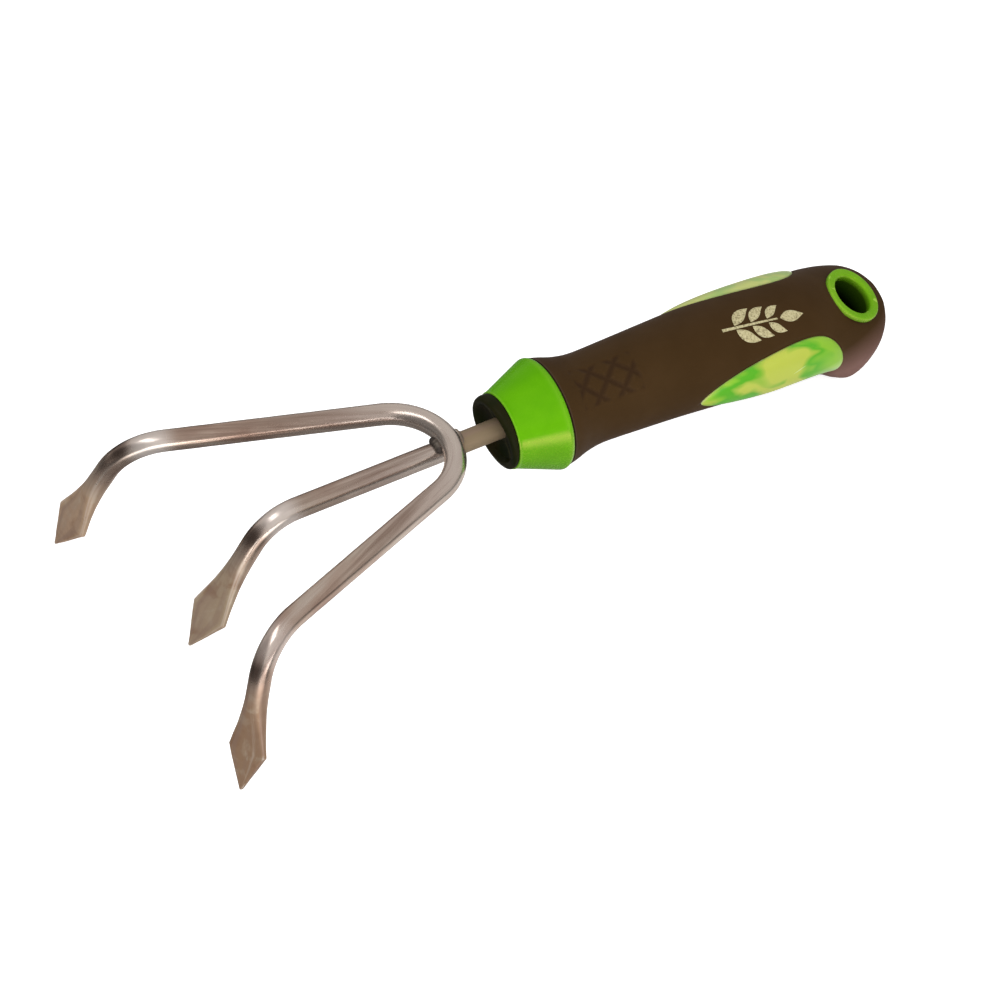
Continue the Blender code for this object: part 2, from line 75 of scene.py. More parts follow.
# Middle tine, one rod from its tip to the tang inside the grip
TANG_END_X = 86 * MM
MID_BEND_X = -81.4 * MM
MID_BEND_R = 18.3 * MM
MID_HOOK_ANGLE = radians(56.7)
MID_HOOK_LENGTH = 50.3 * MM

# Outer tines, one rod bent into a U that lies over the middle rod
BOW_APEX_X = 20 * MM
BOW_Z = 5.6 * MM
BOW_R = 20 * MM
LEG_SPREAD = radians(20)
LEG_SLOPE = radians(0.9)
LEG_LENGTH = 134.8 * MM
OUTER_BEND_R = 20 * MM
# Each outer hook, by side: its angle below the leg, its length, and how far it turns outwards
OUTER_HOOKS = {
    -1: (radians(65.1), 49.9 * MM, radians(19.2)),
    1: (radians(64.1), 52.2 * MM, radians(16.7)),
}

# Flattened arrow-shaped tine ends
BLADE_HALF_WIDTH = 7 * MM
BLADE_HALF_THICKNESS = 1.3 * MM
POINT_LENGTH = 13 * MM
POINT_HALF_WIDTH = 0.45 * MM
POINT_HALF_THICKNESS = 0.6 * MM
BLADE_SHARE = 0.85
MID_BLADE_TWIST = radians(15)
NEAR_BLADE_TWIST = radians(3)
FAR_BLADE_TWIST = radians(24)
HAMMER_DEPTH = 0.12 * MM  # how far the forged faces wander from flat
HAMMER_SIZE = 5 * MM
MATT_START_X = -20 * MM  # the shaft is duller from the bow to the handle
MATT_FADE = 6 * MM
BEND_HIGHLIGHT_SHARE = {-1: 0.48, 0: 0.34, 1: 0.22}  # where each bend's painted highlight sits, as a share of it
HIGHLIGHT_REACH = 4 * MM
HIGHLIGHT_FADE = 6 * MM
DARK_REFLECTION_BESIDE = 0.34  # how far beside that the painted dark reflection sits, as a share of the bend
DARK_REFLECTION_REACH = 1.5 * MM
DARK_REFLECTION_FADE = 3.5 * MM

# Flats on the tang
WING_X = 70 * MM
WING_LENGTH = 16 * MM
WING_HALF_WIDTH = 5.2 * MM
WING_HALF_THICKNESS = 2.2 * MM

# Weld beads where the U crosses the middle rod
BEAD_R = 1.6 * MM
BEAD_OFFSET = 3.6 * MM
BEAD_HALF_ANGLE = radians(54)
BEAD_RIPPLES = 7

# Front collar and the dark nose cap in its mouth
COLLAR_FRONT_X = 0.4 * MM
COLLAR_REAR_X = 17.2 * MM
COLLAR_REAR_R = 18.5 * MM
MOUTH_R = 12 * MM
NOSE_FRONT_X = -2.2 * MM
NOSE_REAR_X = 6.5 * MM
NOSE_R = 12.5 * MM
NOSE_DISH_X = 0.4 * MM  # bottom of the dish round the shaft
NOSE_DISH_R = 10 * MM
NOSE_SLANT = Vector((0, -0.055, -0.09))  # how the cap's face leans, as x gained per y and z
SPIGOT_R = 10.6 * MM
ROUND_SIDES = 160

# Grip: half width, top, widest level and bottom of its section at stations along X
GRIP_STATIONS = [
    (17.5, 17.9, 17.9, 0.0, -17.9),
    (20.5, 17.2, 16.9, -0.3, -17.1),
    (25.5, 15.8, 15.2, -0.8, -15.8),
    (32.0, 15.0, 14.1, -1.2, -15.7),
    (44.0, 15.4, 13.7, -1.9, -16.0),
    (60.0, 16.1, 13.3, -2.8, -17.4),
    (76.0, 17.0, 11.6, -4.3, -19.2),
    (92.0, 17.6, 9.1, -6.9, -20.9),
    (106.0, 17.6, 6.2, -8.9, -21.8),
    (114.0, 17.8, 4.2, -11.6, -24.2),
    (120.0, 18.8, 1.9, -16.0, -29.3),
    (126.0, 19.4, -0.6, -19.4, -31.9),
    (132.0, 18.0, -3.4, -17.8, -28.4),
    (137.5, 14.8, -6.2, -14.2, -22.0),
    (141.5, 10.0, -8.3, -11.6, -16.2),
    (143.9, 4.4, -9.6, -10.5, -12.0),
    (144.4, 0.3, -10.3, -10.5, -10.7),
]
GRIP_TURN = radians(20)
GRIP_WALL = 3.4 * MM
GRIP_SIDES = 240
CORE_END_X = 110 * MM
GAP = 0.3 * MM

# Gel pads: leaf shapes on the grip's flanks
PAD_FRONT_X = 65.5 * MM
PAD_REAR_X = 120.5 * MM
# A pad's middle line, as angles from the section's top in front and behind, by side
PAD_ANGLES = {-1: (radians(83), radians(64.5)), 1: (radians(90), radians(74))}
PAD_FRONT_SPREAD = radians(30)  # half of what it covers round the section
PAD_REAR_SPREAD = radians(35)
PAD_DEPTH = 2 * MM
PAD_CROWN = 1.4 * MM
PAD_SKIN_R = 17 * MM
PAD_EDGE_SINK = 0.35 * MM  # the pad's rim lies this far under the rubber
PAD_LIP_ROLL = 0.45 * MM  # how far the rubber rolls in at the pocket's edge
PAD_LIP_WIDTH = 1.5 * MM
PAD_STEPS = 70
# Rings of the pad and of its pocket, as shares of the way from the middle to the rim
PAD_SHARES = (0.1, 0.2, 0.3, 0.4, 0.5, 0.6, 0.68, 0.76, 0.82, 0.87, 0.91, 0.94, 0.965, 0.985,
              0.995, 1)
POCKET_SHARES = (0.3, 0.6, 0.82, 0.95, 1)

# Hang hole eyelet, square to the sloping end of the grip
EYELET_X = 132.6 * MM
EYELET_TILT = radians(26)
EYELET_RIM_R = 10 * MM
EYELET_TUBE_R = 8.6 * MM
EYELET_HOLE_R = 7 * MM
EYELET_RIM_DEPTH = 1.6 * MM
EYELET_PROUD = 0.5 * MM
BORE_FADE = 15 * MM  # depth at which the bore's painted shade is black

# Pressed diamond lattice near the front of the grip
LATTICE_X = 34.8 * MM
LATTICE_ANGLE = radians(-9)
LATTICE_HALF_LENGTH = 11.6 * MM
LATTICE_HALF_HEIGHT = 7.2 * MM
LATTICE_CELL = 8.8 * MM
LATTICE_GROOVE = 1.5 * MM  # half width of a pressed line
LATTICE_DEPTH = 0.32 * MM

# Leafy sprig printed on the top of the grip
PRINT_X = 91.5 * MM
PRINT_ANGLE = radians(-5)
PRINT_PROUD = 0.06 * MM
PRINT_LEAN = radians(-4)
STEM_HALF_LENGTH = 13 * MM
STEM_HALF_WIDTH = 0.4 * MM
LEAF_LENGTH = 8.8 * MM
LEAF_HALF_WIDTH = 1.9 * MM
LEAF_HEADING = radians(52)

# Camera: looks at the front of the handle, from the tine side and above
CAMERA_AZIMUTH = radians(-31.78)
CAMERA_ELEVATION = radians(45.37)
CAMERA_ROLL = radians(2.15)
CAMERA_DISTANCE = 1.6
CAMERA_AIM_RIGHT = 0.54 * MM
CAMERA_AIM_UP = -22.3 * MM
FIELD_WIDTH = 310.6 * MM  # what the picture's width covers at the shaft
SENSOR = 36.0


def shaft_origin():
    """World place of the shaft frame's origin, from the collar, which is round about the shaft."""
    low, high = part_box("front_collar")
    return Vector((low[0] - COLLAR_FRONT_X, (low[1] + high[1]) / 2, (low[2] + high[2]) / 2))


ORIGIN = shaft_origin()
ROD_ORIGIN = ORIGIN + ROD_SHIFT


# Meshes


def smooth(t):
    t = max(0.0, min(1.0, t))
    return t * t * (3 - 2 * t)


def bridge(bm, low, high):
    """Faces between two loops of vertices."""
    for i in range(len(low)):
        j = (i + 1) % len(low)
        bm.faces.new((low[i], low[j], high[j], high[i]))


def fan(bm, ring, hub):
    """Faces from a loop of vertices to one in its middle."""
    for i in range(len(ring)):
        bm.faces.new((ring[i], ring[(i + 1) % len(ring)], hub))


def loft(rings, close_ends=True, bm=None):
    """Skins rings of equal length into a closed bmesh."""
    if bm is None:
        bm = bmesh.new()
    loops = [[bm.verts.new(point) for point in ring] for ring in rings]
    for low, high in zip(loops, loops[1:]):
        bridge(bm, low, high)
    if close_ends:
        for end in (loops[0], loops[-1]):
            fan(bm, end, bm.verts.new(sum((v.co for v in end), Vector()) / len(end)))
    return bm


def revolve(profile, sides=ROUND_SIDES, closed=True):
    """Turns (x, radius) points about the X axis; a closed profile makes a ring."""
    rings = []
    for x, r in profile:
        turn = [2 * pi * i / sides for i in range(sides)]
        rings.append([Vector((x, r * cos(a), r * sin(a))) for a in turn])
    if closed:
        rings.append(rings[0])
    bm = loft(rings, close_ends=not closed)
    bmesh.ops.remove_doubles(bm, verts=bm.verts, dist=1e-7)
    return bm


def arc(centre, radius, start, end, steps):
    """(x, r) points on an arc between two angles in degrees."""
    out = []
    for i in range(steps + 1):
        a = radians(start + (end - start) * i / steps)
        out.append((centre[0] + radius * cos(a), centre[1] + radius * sin(a)))
    return out


def shade(mesh, sharp):
    """Smooth shading but for edges sharper than an angle in degrees."""
    mesh.shade_smooth()
    mesh.set_sharp_from_angle(angle=radians(sharp))


def make_object(name, bm, sharp=35, at=ORIGIN):
    """A mesh object at a frame's place, with outward faces."""
    bmesh.ops.recalc_face_normals(bm, faces=bm.faces)
    mesh = bpy.data.meshes.new(name)
    bm.to_mesh(mesh)
    bm.free()
    shade(mesh, sharp)
    made = bpy.data.objects.new(name, mesh)
    made.location = at
    bpy.context.collection.objects.link(made)
    return made


def cut(target, *cutters, operation="DIFFERENCE", sharp=35):
    """Cuts a piece with bmeshes built in its own frame and keeps the result as its mesh."""
    tools = [make_object("cutter", cutter, at=target.location) for cutter in cutters]
    for tool in tools:
        step = target.modifiers.new("cut", "BOOLEAN")
        step.operation = operation
        step.solver = "EXACT"
        step.object = tool
    graph = bpy.context.evaluated_depsgraph_get()
    mesh = bpy.data.meshes.new_from_object(target.evaluated_get(graph))
    target.modifiers.clear()
    target.data = mesh
    shade(mesh, sharp)
    for tool in tools:
        bpy.data.objects.remove(tool, do_unlink=True)


def piece(made, node, look):
    """Puts a finished object in the place of a CAD node."""
    made.data.materials.clear()
    made.data.materials.append(look)
    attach(made, "root")
    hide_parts(node)


# Rods


def bend(before, corner, after, radius, steps):
    """Points round a corner, on an arc tangent to both straights."""
    a = (before - corner).normalized()
    b = (after - corner).normalized()
    half = acos(max(-1.0, min(1.0, a.dot(b)))) / 2
    centre = corner + (a + b).normalized() * (radius / sin(half))
    u = corner + a * (radius / tan(half)) - centre
    w = corner + b * (radius / tan(half)) - centre
    sweep = pi - 2 * half
    v = (w - u * cos(sweep)) / sin(sweep)
    turns = [sweep * i / steps for i in range(steps + 1)]
    return [centre + u * cos(t) + v * sin(t) for t in turns]


def line(start, end):
    steps = max(1, round((end - start).length / ROD_STEP))
    return [start.lerp(end, i / steps) for i in range(steps + 1)]


def join_paths(*parts):
    """Joins point lists, leaving out points that repeat."""
    out = []
    for part in parts:
        for point in part:
            if not out or (point - out[-1]).length > 0.02 * MM:
                out.append(point)
    return out


def tangents(points):
    out = []
    for i in range(len(points)):
        before = points[max(0, i - 1)]
        after = points[min(len(points) - 1, i + 1)]
        out.append((after - before).normalized())
    return out


def blade_section(to_tip, hook_length):
    """Half width, half thickness and squareness of the rod at a distance from its tip."""
    drawn = hook_length * BLADE_SHARE
    if to_tip >= drawn:
        return ROD_R, ROD_R, 0.0
    if to_tip > POINT_LENGTH:
        t = (drawn - to_tip) / (drawn - POINT_LENGTH)
        wide = ROD_R + (BLADE_HALF_WIDTH - ROD_R) * t**1.5
        thick = ROD_R + (BLADE_HALF_THICKNESS - ROD_R) * smooth(t)
        return wide, thick, smooth(t)
    t = to_tip / POINT_LENGTH
    wide = POINT_HALF_WIDTH + (BLADE_HALF_WIDTH - POINT_HALF_WIDTH) * t
    thick = POINT_HALF_THICKNESS + (BLADE_HALF_THICKNESS - POINT_HALF_THICKNESS) * smooth(t)
    return wide, thick, 1.0


def hammered(place):
    """A small offset of a forged surface, the same at the same place."""
    return HAMMER_DEPTH * noise.noise(place / HAMMER_SIZE)


def rod_ring(point, tangent, across, wide, thick, square, forged):
    """One section of a rod: round, or squared towards a flat blade with eased edges."""
    across = (across - tangent * across.dot(tangent)).normalized()
    up = tangent.cross(across)
    power = 1.0 - 0.5 * square
    ring = []
    for i in range(ROD_SIDES):
        a = 2 * pi * i / ROD_SIDES
        c = cos(a)
        s = sin(a)
        x = abs(c) ** power * (1 if c >= 0 else -1)
        y = abs(s) ** power * (1 if s >= 0 else -1)
        spot = point + across * (wide * x) + up * (thick * y)
        out = (across * (c / wide) + up * (s / thick)).normalized()
        ring.append(spot + out * hammered(spot) * forged)
    return ring


def tine_ring(point, along, across, twist, tip, hook_length, wing=0.0):
    """A rod's section by its distance from the tip; wing is 1 where the tang is flattened."""
    to_tip = (point - tip).length
    wide, thick, square = blade_section(to_tip, hook_length)
    wide += (WING_HALF_WIDTH - ROD_R) * wing
    thick += (WING_HALF_THICKNESS - ROD_R) * wing
    share = smooth((hook_length - to_tip) / (hook_length - POINT_LENGTH))
    across = Matrix.Rotation(twist * share, 3, along) @ across
    return rod_ring(point, along, across, wide, thick, square, 0.25 + 0.75 * square)


def hook_distances(length):
    """Distances from the tip at which the hook gets a section, closest at the shoulders."""
    near = [POINT_LENGTH * i / 14 for i in range(14)] + [POINT_LENGTH - 0.15 * MM, POINT_LENGTH]
    near += [POINT_LENGTH + 0.15 * MM]
    rest = round((length - POINT_LENGTH) / ROD_STEP)
    return near + [POINT_LENGTH + (length - POINT_LENGTH) * i / rest for i in range(1, rest + 1)]


def store_straightened(made, points):
    """Stores the coordinates each ring vertex would have if its rod were straight."""
    along = 0.0
    flat = []
    for i, point in enumerate(points):
        if i:
            along += (point - points[i - 1]).length
        for k in range(ROD_SIDES):
            a = 2 * pi * k / ROD_SIDES
            flat += (along, ROD_R * cos(a), ROD_R * sin(a))
    flat += (0.0, 0.0, 0.0, along, 0.0, 0.0)
    layer = made.data.attributes.new("straight", "FLOAT_VECTOR", "POINT")
    layer.data.foreach_set("vector", flat)


def store_values(made, name, values):
    made.data.attributes.new(name, "FLOAT", "POINT").data.foreach_set("value", values)


def gaps_to(made, places):
    """Each vertex's distance from the nearest of some places."""
    return [min((vertex.co - place).length for place in places) for vertex in made.data.vertices]


def store_tip_share(made, tips):
    """How close each vertex is to a tip, from 1 at the tip to 0 at the top of its hook."""
    shares = [max(0.0, 1.0 - gap / MID_HOOK_LENGTH) for gap in gaps_to(made, tips)]
    store_values(made, "tip", shares)


def store_patches(made, name, places, reach, fade):
    """1 within reach of each place, falling to 0 over the fade beyond it."""
    shares = [1.0 - smooth((gap - reach) / fade) for gap in gaps_to(made, places)]
    store_values(made, name, shares)


def store_bend_highlights(made, bend_marks):
    """Marks each bend's painted highlight and, beside it on its outside, a painted dark reflection.
    """
    store_patches(made, "bend", [highlight_spot for highlight_spot, _ in bend_marks], HIGHLIGHT_REACH, HIGHLIGHT_FADE)
    store_patches(made, "scale", [dark_spot for _, dark_spot in bend_marks], DARK_REFLECTION_REACH, DARK_REFLECTION_FADE)


def bend_highlight_places(turn, share):
    """On a bend's arc from hook to leg: its painted highlight and the dark reflection beside it."""
    last = len(turn) - 1
    dark_spot = max(1, round(last * (share - DARK_REFLECTION_BESIDE)))
    outward = (turn[dark_spot] - (turn[0] + turn[-1]) / 2).normalized()
    return turn[round(last * share)], turn[dark_spot] + outward * ROD_R


def build_mid_tine():
    corner = Vector((MID_BEND_X, 0, 0))
    down = Vector((-cos(MID_HOOK_ANGLE), 0, -sin(MID_HOOK_ANGLE)))
    tip = corner + down * MID_HOOK_LENGTH
    end = Vector((TANG_END_X, 0, 0))
    turn = bend(tip, corner, end, MID_BEND_R, BEND_STEPS)
    hook_end = (turn[0] - tip).length
    hook = [tip - down * d for d in hook_distances(hook_end)]
    points = join_paths(hook, turn, line(turn[-1], end))
    rings = []
    across = Vector((0, 1, 0))
    for point, along in zip(points, tangents(points)):
        wing = smooth((point.x - WING_X) / (0.3 * WING_LENGTH))
        rings.append(tine_ring(point, along, across, MID_BLADE_TWIST, tip, hook_end, wing))
    made = make_object("centre_tine_steel", loft(rings), sharp=28, at=ROD_ORIGIN)
    store_straightened(made, points)
    store_tip_share(made, [tip])
    store_bend_highlights(made, [bend_highlight_places(turn, 1 - BEND_HIGHLIGHT_SHARE[0])])
    matt = [smooth((vertex.co.x - MATT_START_X) / MATT_FADE) for vertex in made.data.vertices]
    store_values(made, "matt", matt)
    return made


def outer_tine_half(side):
    """One half of the outer rod, from the bow's apex to its tip.

    Returns (point, width direction) pairs, the tip, the length of the straight part of the hook
    and the places of the bend's painted highlight and painted dark reflection.
    """
    apex = Vector((BOW_APEX_X, 0, BOW_Z))
    leg = Vector((
        -cos(LEG_SPREAD) * cos(LEG_SLOPE),
        side * sin(LEG_SPREAD) * cos(LEG_SLOPE),
        -sin(LEG_SLOPE),
    ))
    twin = Vector((leg.x, -leg.y, leg.z))
    corner = apex + leg * LEG_LENGTH
    angle, length, toe_out = OUTER_HOOKS[side]
    heading = LEG_SPREAD + toe_out
    hook = Vector((-cos(heading) * cos(angle), side * sin(heading) * cos(angle), -sin(angle)))
    tip = corner + hook * length
    bow = bend(apex + twin * LEG_LENGTH, apex, corner, BOW_R, 2 * BOW_STEPS)[BOW_STEPS:]
    turn = bend(apex, corner, tip, OUTER_BEND_R, BEND_STEPS)
    hook_end = (turn[-1] - tip).length
    blade = [tip - hook * d for d in reversed(hook_distances(hook_end))]
    bow_normal = Vector((0, 0, 1))
    hook_normal = leg.cross(hook).normalized() * -side
    straight = line(bow[-1], turn[0])
    out = [(p, bow_normal) for p in bow]
    for i, p in enumerate(straight[1:-1], start=1):
        out.append((p, bow_normal.slerp(hook_normal, i / len(straight))))
    out += [(p, hook_normal) for p in join_paths(turn, blade)]
    return out, tip, hook_end, bend_highlight_places(turn[::-1], 1 - BEND_HIGHLIGHT_SHARE[side])


def build_outer_tines():
    near, near_tip, near_end, near_highlights = outer_tine_half(-1)
    far, far_tip, far_end, far_highlights = outer_tine_half(1)
    path = list(reversed(far)) + near[1:]
    points = [p for p, _ in path]
    headings = tangents(points)
    rings = []
    for i, (point, across) in enumerate(path):
        if i < len(far):
            blade = (FAR_BLADE_TWIST, far_tip, far_end)
        else:
            blade = (-NEAR_BLADE_TWIST, near_tip, near_end)
        rings.append(tine_ring(point, headings[i], across, *blade))
    made = make_object("outer_tines_steel", loft(rings), sharp=28, at=ROD_ORIGIN)
    store_straightened(made, points)
    store_tip_share(made, [near_tip, far_tip])
    store_bend_highlights(made, [near_highlights, far_highlights])
    cut(made, shaft_cutter(), sharp=28)
    return made


def shaft_cutter():
    """A straight rod, a little thicker than the shaft, along it from the legs into the grip."""
    radius = ROD_R + SADDLE_GAP
    return revolve([(-60 * MM, radius), (30 * MM, radius)], 96, closed=False)


def build_bead(name, side):
    """A rippled weld bead laid over the middle rod, against one side of the bow."""
    bow_x = BOW_APEX_X - BOW_R / sin(LEG_SPREAD) + BOW_R  # where the bow crosses the shaft
    centre_x = bow_x + side * BEAD_OFFSET
    points = []
    steps = 60
    reach = ROD_R + GAP
    for i in range(steps + 1):
        a = -BEAD_HALF_ANGLE + 2 * BEAD_HALF_ANGLE * i / steps
        follow = BOW_R - sqrt(BOW_R**2 - (reach * sin(a)) ** 2)
        points.append(Vector((centre_x - follow, reach * sin(a), reach * cos(a))))
    rings = []
    for i, (point, along) in enumerate(zip(points, tangents(points))):
        t = 2 * i / steps - 1
        ripple = 1 - 0.07 * abs(sin(pi * BEAD_RIPPLES * i / steps))
        r = BEAD_R * sqrt(max(0.02, 1 - t**4)) * ripple
        rings.append(rod_ring(point, along, Vector((1, 0, 0)), r, r, 0.0, 1.5))
    made = make_object(name, loft(rings), sharp=60, at=ROD_ORIGIN)
    store_straightened(made, points)
    cut(made, shaft_cutter(), sharp=60)
    return made


# Collar and nose cap


def build_collar():
    """A flared ferrule: thin rolled front lip, straight flare, rounded rear shoulder."""
    lip = 0.45 * MM
    front = COLLAR_FRONT_X
    shoulder = 1.5 * MM
    step_x = NOSE_REAR_X + GAP
    profile = arc((front + lip, MOUTH_R + lip), lip, 270, 75, 18)
    start = (front + 2.2 * lip, MOUTH_R + 2.1 * lip)
    end = (COLLAR_REAR_X - 1.6 * shoulder, COLLAR_REAR_R - 0.25 * MM)
    for i in range(25):
        t = i / 24
        profile.append((start[0] + (end[0] - start[0]) * t, start[1] + (end[1] - start[1]) * t))
    profile += arc((COLLAR_REAR_X - shoulder, COLLAR_REAR_R - shoulder), shoulder, 100, 0, 16)
    profile += [(COLLAR_REAR_X, SPIGOT_R + GAP), (step_x, SPIGOT_R + GAP), (step_x, MOUTH_R)]
    return make_object("front_collar_moulding", revolve(profile), sharp=40)


def slant_share(place):
    """How fully a point of the cap follows its slant: all of it in the dish, none at the collar."""
    if place.x > 2 * MM:
        return 0.0
    if place.yz.length < NOSE_DISH_R + GAP:
        return 1.0
    return max(0.0, min(1.0, (-GAP - place.x) / (-GAP - NOSE_FRONT_X)))


def build_nose():
    """The dark cap in the collar's mouth: a rounded rim and a dish that the shaft enters."""
    neck = MOUTH_R - 0.15 * MM
    edge = 1.5 * MM
    inner = 0.9 * MM
    dish = NOSE_DISH_R
    profile = [(NOSE_REAR_X, neck), (COLLAR_FRONT_X, neck)]
    profile += arc((COLLAR_FRONT_X - 0.5 * MM, NOSE_R - 0.35 * MM), 0.35 * MM, 0, 90, 6)
    profile += arc((NOSE_FRONT_X + edge, NOSE_R - edge), edge, 95, 178, 14)
    profile += arc((NOSE_FRONT_X + inner, dish + 0.7 * MM), inner, 184, 240, 10)
    profile += [(NOSE_DISH_X - 0.9 * MM, 0.92 * dish), (NOSE_DISH_X - 0.35 * MM, 0.78 * dish)]
    profile += [(NOSE_DISH_X - 0.1 * MM, 0.65 * dish), (NOSE_DISH_X, ROD_R + 1.6 * MM)]
    profile += arc((NOSE_DISH_X + 0.7 * MM, ROD_R + 1 * MM), 0.7 * MM, 170, 215, 6)
    bm = revolve(profile, closed=False)
    for vertex in bm.verts:
        vertex.co.x += vertex.co.dot(NOSE_SLANT) * slant_share(vertex.co)
    nose = make_object("nose_cap_moulding", bm, sharp=40)
    bore = shaft_cutter()
    bore.transform(Matrix.Translation(ROD_SHIFT))
    cut(nose, bore, sharp=40)
    return nose


# Grip


def section_at(t):
    """The grip's section on a Catmull-Rom curve through the stations, t counted in stations.

    Its position, half width, top, widest level and bottom, in metres.
    """
    stations = GRIP_STATIONS
    i = min(int(t), len(stations) - 2)
    f = t - i
    p1 = stations[i]
    p2 = stations[i + 1]
    p0 = stations[i - 1] if i else [2 * a - b for a, b in zip(p1, p2)]
    p3 = stations[i + 2] if i + 2 < len(stations) else [2 * b - a for a, b in zip(p1, p2)]
    out = []
    for a, b, c, d in zip(p0, p1, p2, p3):
        out.append(0.5 * (2 * b + (c - a) * f + (2 * a - 5 * b + 4 * c - d) * f**2
                          + (3 * b - a - 3 * c + d) * f**3) * MM)
    return out


def station_parameter(x):
    low = 0.0
    high = len(GRIP_STATIONS) - 1.0
    for _ in range(30):
        middle = (low + high) / 2
        if section_at(middle)[0] < x:
            low = middle
        else:
            high = middle
    return low


def grip_section(x):
    return section_at(station_parameter(x))


def grip_point(section, angle, inset=0.0):
    """A point of the section at an angle from its top, +Y side positive, inset from the skin."""
    x, wide, top, level, bottom = section
    reach = top - level if cos(angle) >= 0 else level - bottom
    y = (wide - inset) * sin(angle)
    z = level + (reach - inset) * cos(angle)
    return Matrix.Rotation(GRIP_TURN, 3, "X") @ Vector((x, y, z))


def grip_parameters():
    """Spline parameters of the rings: close at the pressed lattice and round the butt."""
    out = []
    x = GRIP_STATIONS[0][0] * MM
    while x < 122 * MM:
        out.append(station_parameter(x))
        x += 0.4 * MM if x < 48 * MM else 0.8 * MM
    last = len(GRIP_STATIONS) - 1
    steps = 90
    start = out[-1] + 0.05
    return out + [start + (last - start) * i / steps for i in range(steps + 1)]


def wrapped(angle):
    return (angle + pi) % (2 * pi) - pi


def lattice_depth(x, angle):
    """How deep the skin is pressed in at a place, for the diamond lattice."""
    across = wrapped(angle - LATTICE_ANGLE) * PAD_SKIN_R * 0.9
    along = x - LATTICE_X
    if abs(along) > LATTICE_HALF_LENGTH or abs(across) > LATTICE_HALF_HEIGHT:
        return 0.0
    depth = 0.0
    for lean in (1, -1):
        place = (along + lean * across) / LATTICE_CELL
        gap = abs(place - round(place)) * LATTICE_CELL / sqrt(2)
        depth = max(depth, 1 - smooth(gap / LATTICE_GROOVE))
    fade = smooth((LATTICE_HALF_LENGTH - abs(along)) / (1.2 * MM))
    fade *= smooth((LATTICE_HALF_HEIGHT - abs(across)) / (1.2 * MM))
    return depth * fade * LATTICE_DEPTH


def pad_edge_distance(x, angle):
    """Rough distance from a place on the skin to the nearest pad's outline, outside it."""
    u = (x - PAD_FRONT_X) / (PAD_REAR_X - PAD_FRONT_X)
    if u < -0.1 or u > 1.1:
        return 1.0
    u = max(0.0, min(1.0, u))
    turn = wrapped(angle)
    middle, spread = pad_band(1 if turn > 0 else -1, u)
    aside = max(0.0, abs(abs(turn) - middle) - spread) * PAD_SKIN_R
    beyond = max(PAD_FRONT_X - x, x - PAD_REAR_X, 0.0)
    return sqrt(aside**2 + beyond**2)


def grip_inset(x, angle):
    """How far the visible skin lies under the plain section."""
    roll = PAD_LIP_ROLL * (1 - smooth(pad_edge_distance(x, angle) / PAD_LIP_WIDTH))
    return roll + lattice_depth(x, angle)


def grip_skin():
    """Rings of the visible skin, and how far each vertex is pressed in by the lattice."""
    rings = []
    pressed = []
    for t in grip_parameters():
        section = section_at(t)
        ring = []
        for i in range(GRIP_SIDES):
            angle = 2 * pi * i / GRIP_SIDES
            ring.append(grip_point(section, angle, grip_inset(section[0], angle)))
            pressed.append(lattice_depth(section[0], angle) / LATTICE_DEPTH)
        rings.append(ring)
    return loft(rings), pressed + [0.0, 0.0]


def grip_hollow():
    """The inside of the sleeve, open towards the collar."""
    start = 10 * MM
    steps = 24
    rings = []
    for i in range(steps + 1):
        x = start + (CORE_END_X - start) * i / steps
        section = grip_section(max(x, GRIP_STATIONS[0][0] * MM))
        section[0] = x
        rings.append([grip_point(section, 2 * pi * k / 60, GRIP_WALL) for k in range(60)])
    return loft(rings)


def pad_band(side, u, grow=0.0):
    """Middle angle and half spread of a pad at a share of its length."""
    front, rear = PAD_ANGLES[side]
    fullness = (1 - (1 - u) ** 4) ** 0.6 * sqrt(max(0.0, 1 - u**8))
    half = PAD_FRONT_SPREAD + (PAD_REAR_SPREAD - PAD_FRONT_SPREAD) * u
    return front + (rear - front) * u, (half + grow / PAD_SKIN_R) * fullness


def pad_outline(side, steps, grow=0.0):
    """(x, angle) points round a gel pad: pointed in front, round behind."""
    length = PAD_REAR_X - PAD_FRONT_X + 2 * grow
    upper = []
    lower = []
    for i in range(steps + 1):
        u = (1 - cos(pi * i / steps)) / 2
        x = PAD_FRONT_X - grow + length * u
        middle, spread = pad_band(side, u, grow)
        upper.append((x, middle - spread))
        lower.append((x, middle + spread))
    return upper + lower[-2:0:-1]


def pad_shape(side, lift, bottom, shares, steps, grow=0.0):
    """A leaf-shaped solid on one flank; lift gives its height over the skin by share."""
    outline = pad_outline(side, steps, grow)
    front, rear = PAD_ANGLES[side]
    centre = (0.6 * PAD_REAR_X + 0.4 * PAD_FRONT_X, 0.6 * rear + 0.4 * front)
    bm = bmesh.new()
    sheets = []
    for height in (lambda share: bottom, lift):
        layer = []
        for share in shares:
            ring = []
            for x, angle in outline:
                px = centre[0] + (x - centre[0]) * share
                pa = centre[1] + (angle - centre[1]) * share
                ring.append(bm.verts.new(grip_point(grip_section(px), side * pa, -height(share))))
            layer.append(ring)
        hub = bm.verts.new(grip_point(grip_section(centre[0]), side * centre[1], -height(0.0)))
        sheets.append((layer, hub))
    for layer, hub in sheets:
        fan(bm, layer[0], hub)
        for low, high in zip(layer, layer[1:]):
            bridge(bm, low, high)
    bridge(bm, sheets[0][0][-1], sheets[1][0][-1])
    return bm


def pad_lift(share):
    """Height of the gel over the grip's skin, from its middle (0) to its rim (1)."""
    rim = -PAD_EDGE_SINK
    return rim + (PAD_CROWN - rim) * (1 - share**4) ** 0.6 if share < 1 else rim


def build_pad(name, side):
    bm = pad_shape(side, pad_lift, -PAD_DEPTH, PAD_SHARES, PAD_STEPS)
    return make_object(name, bm, sharp=60)


def pad_pocket(side):
    """The pad's shape a little grown and open above, to cut its place in the grip."""
    floor = -(PAD_DEPTH + 0.1 * MM)
    return pad_shape(side, lambda share: 4 * MM, floor, POCKET_SHARES, PAD_STEPS, grow=0.12 * MM)


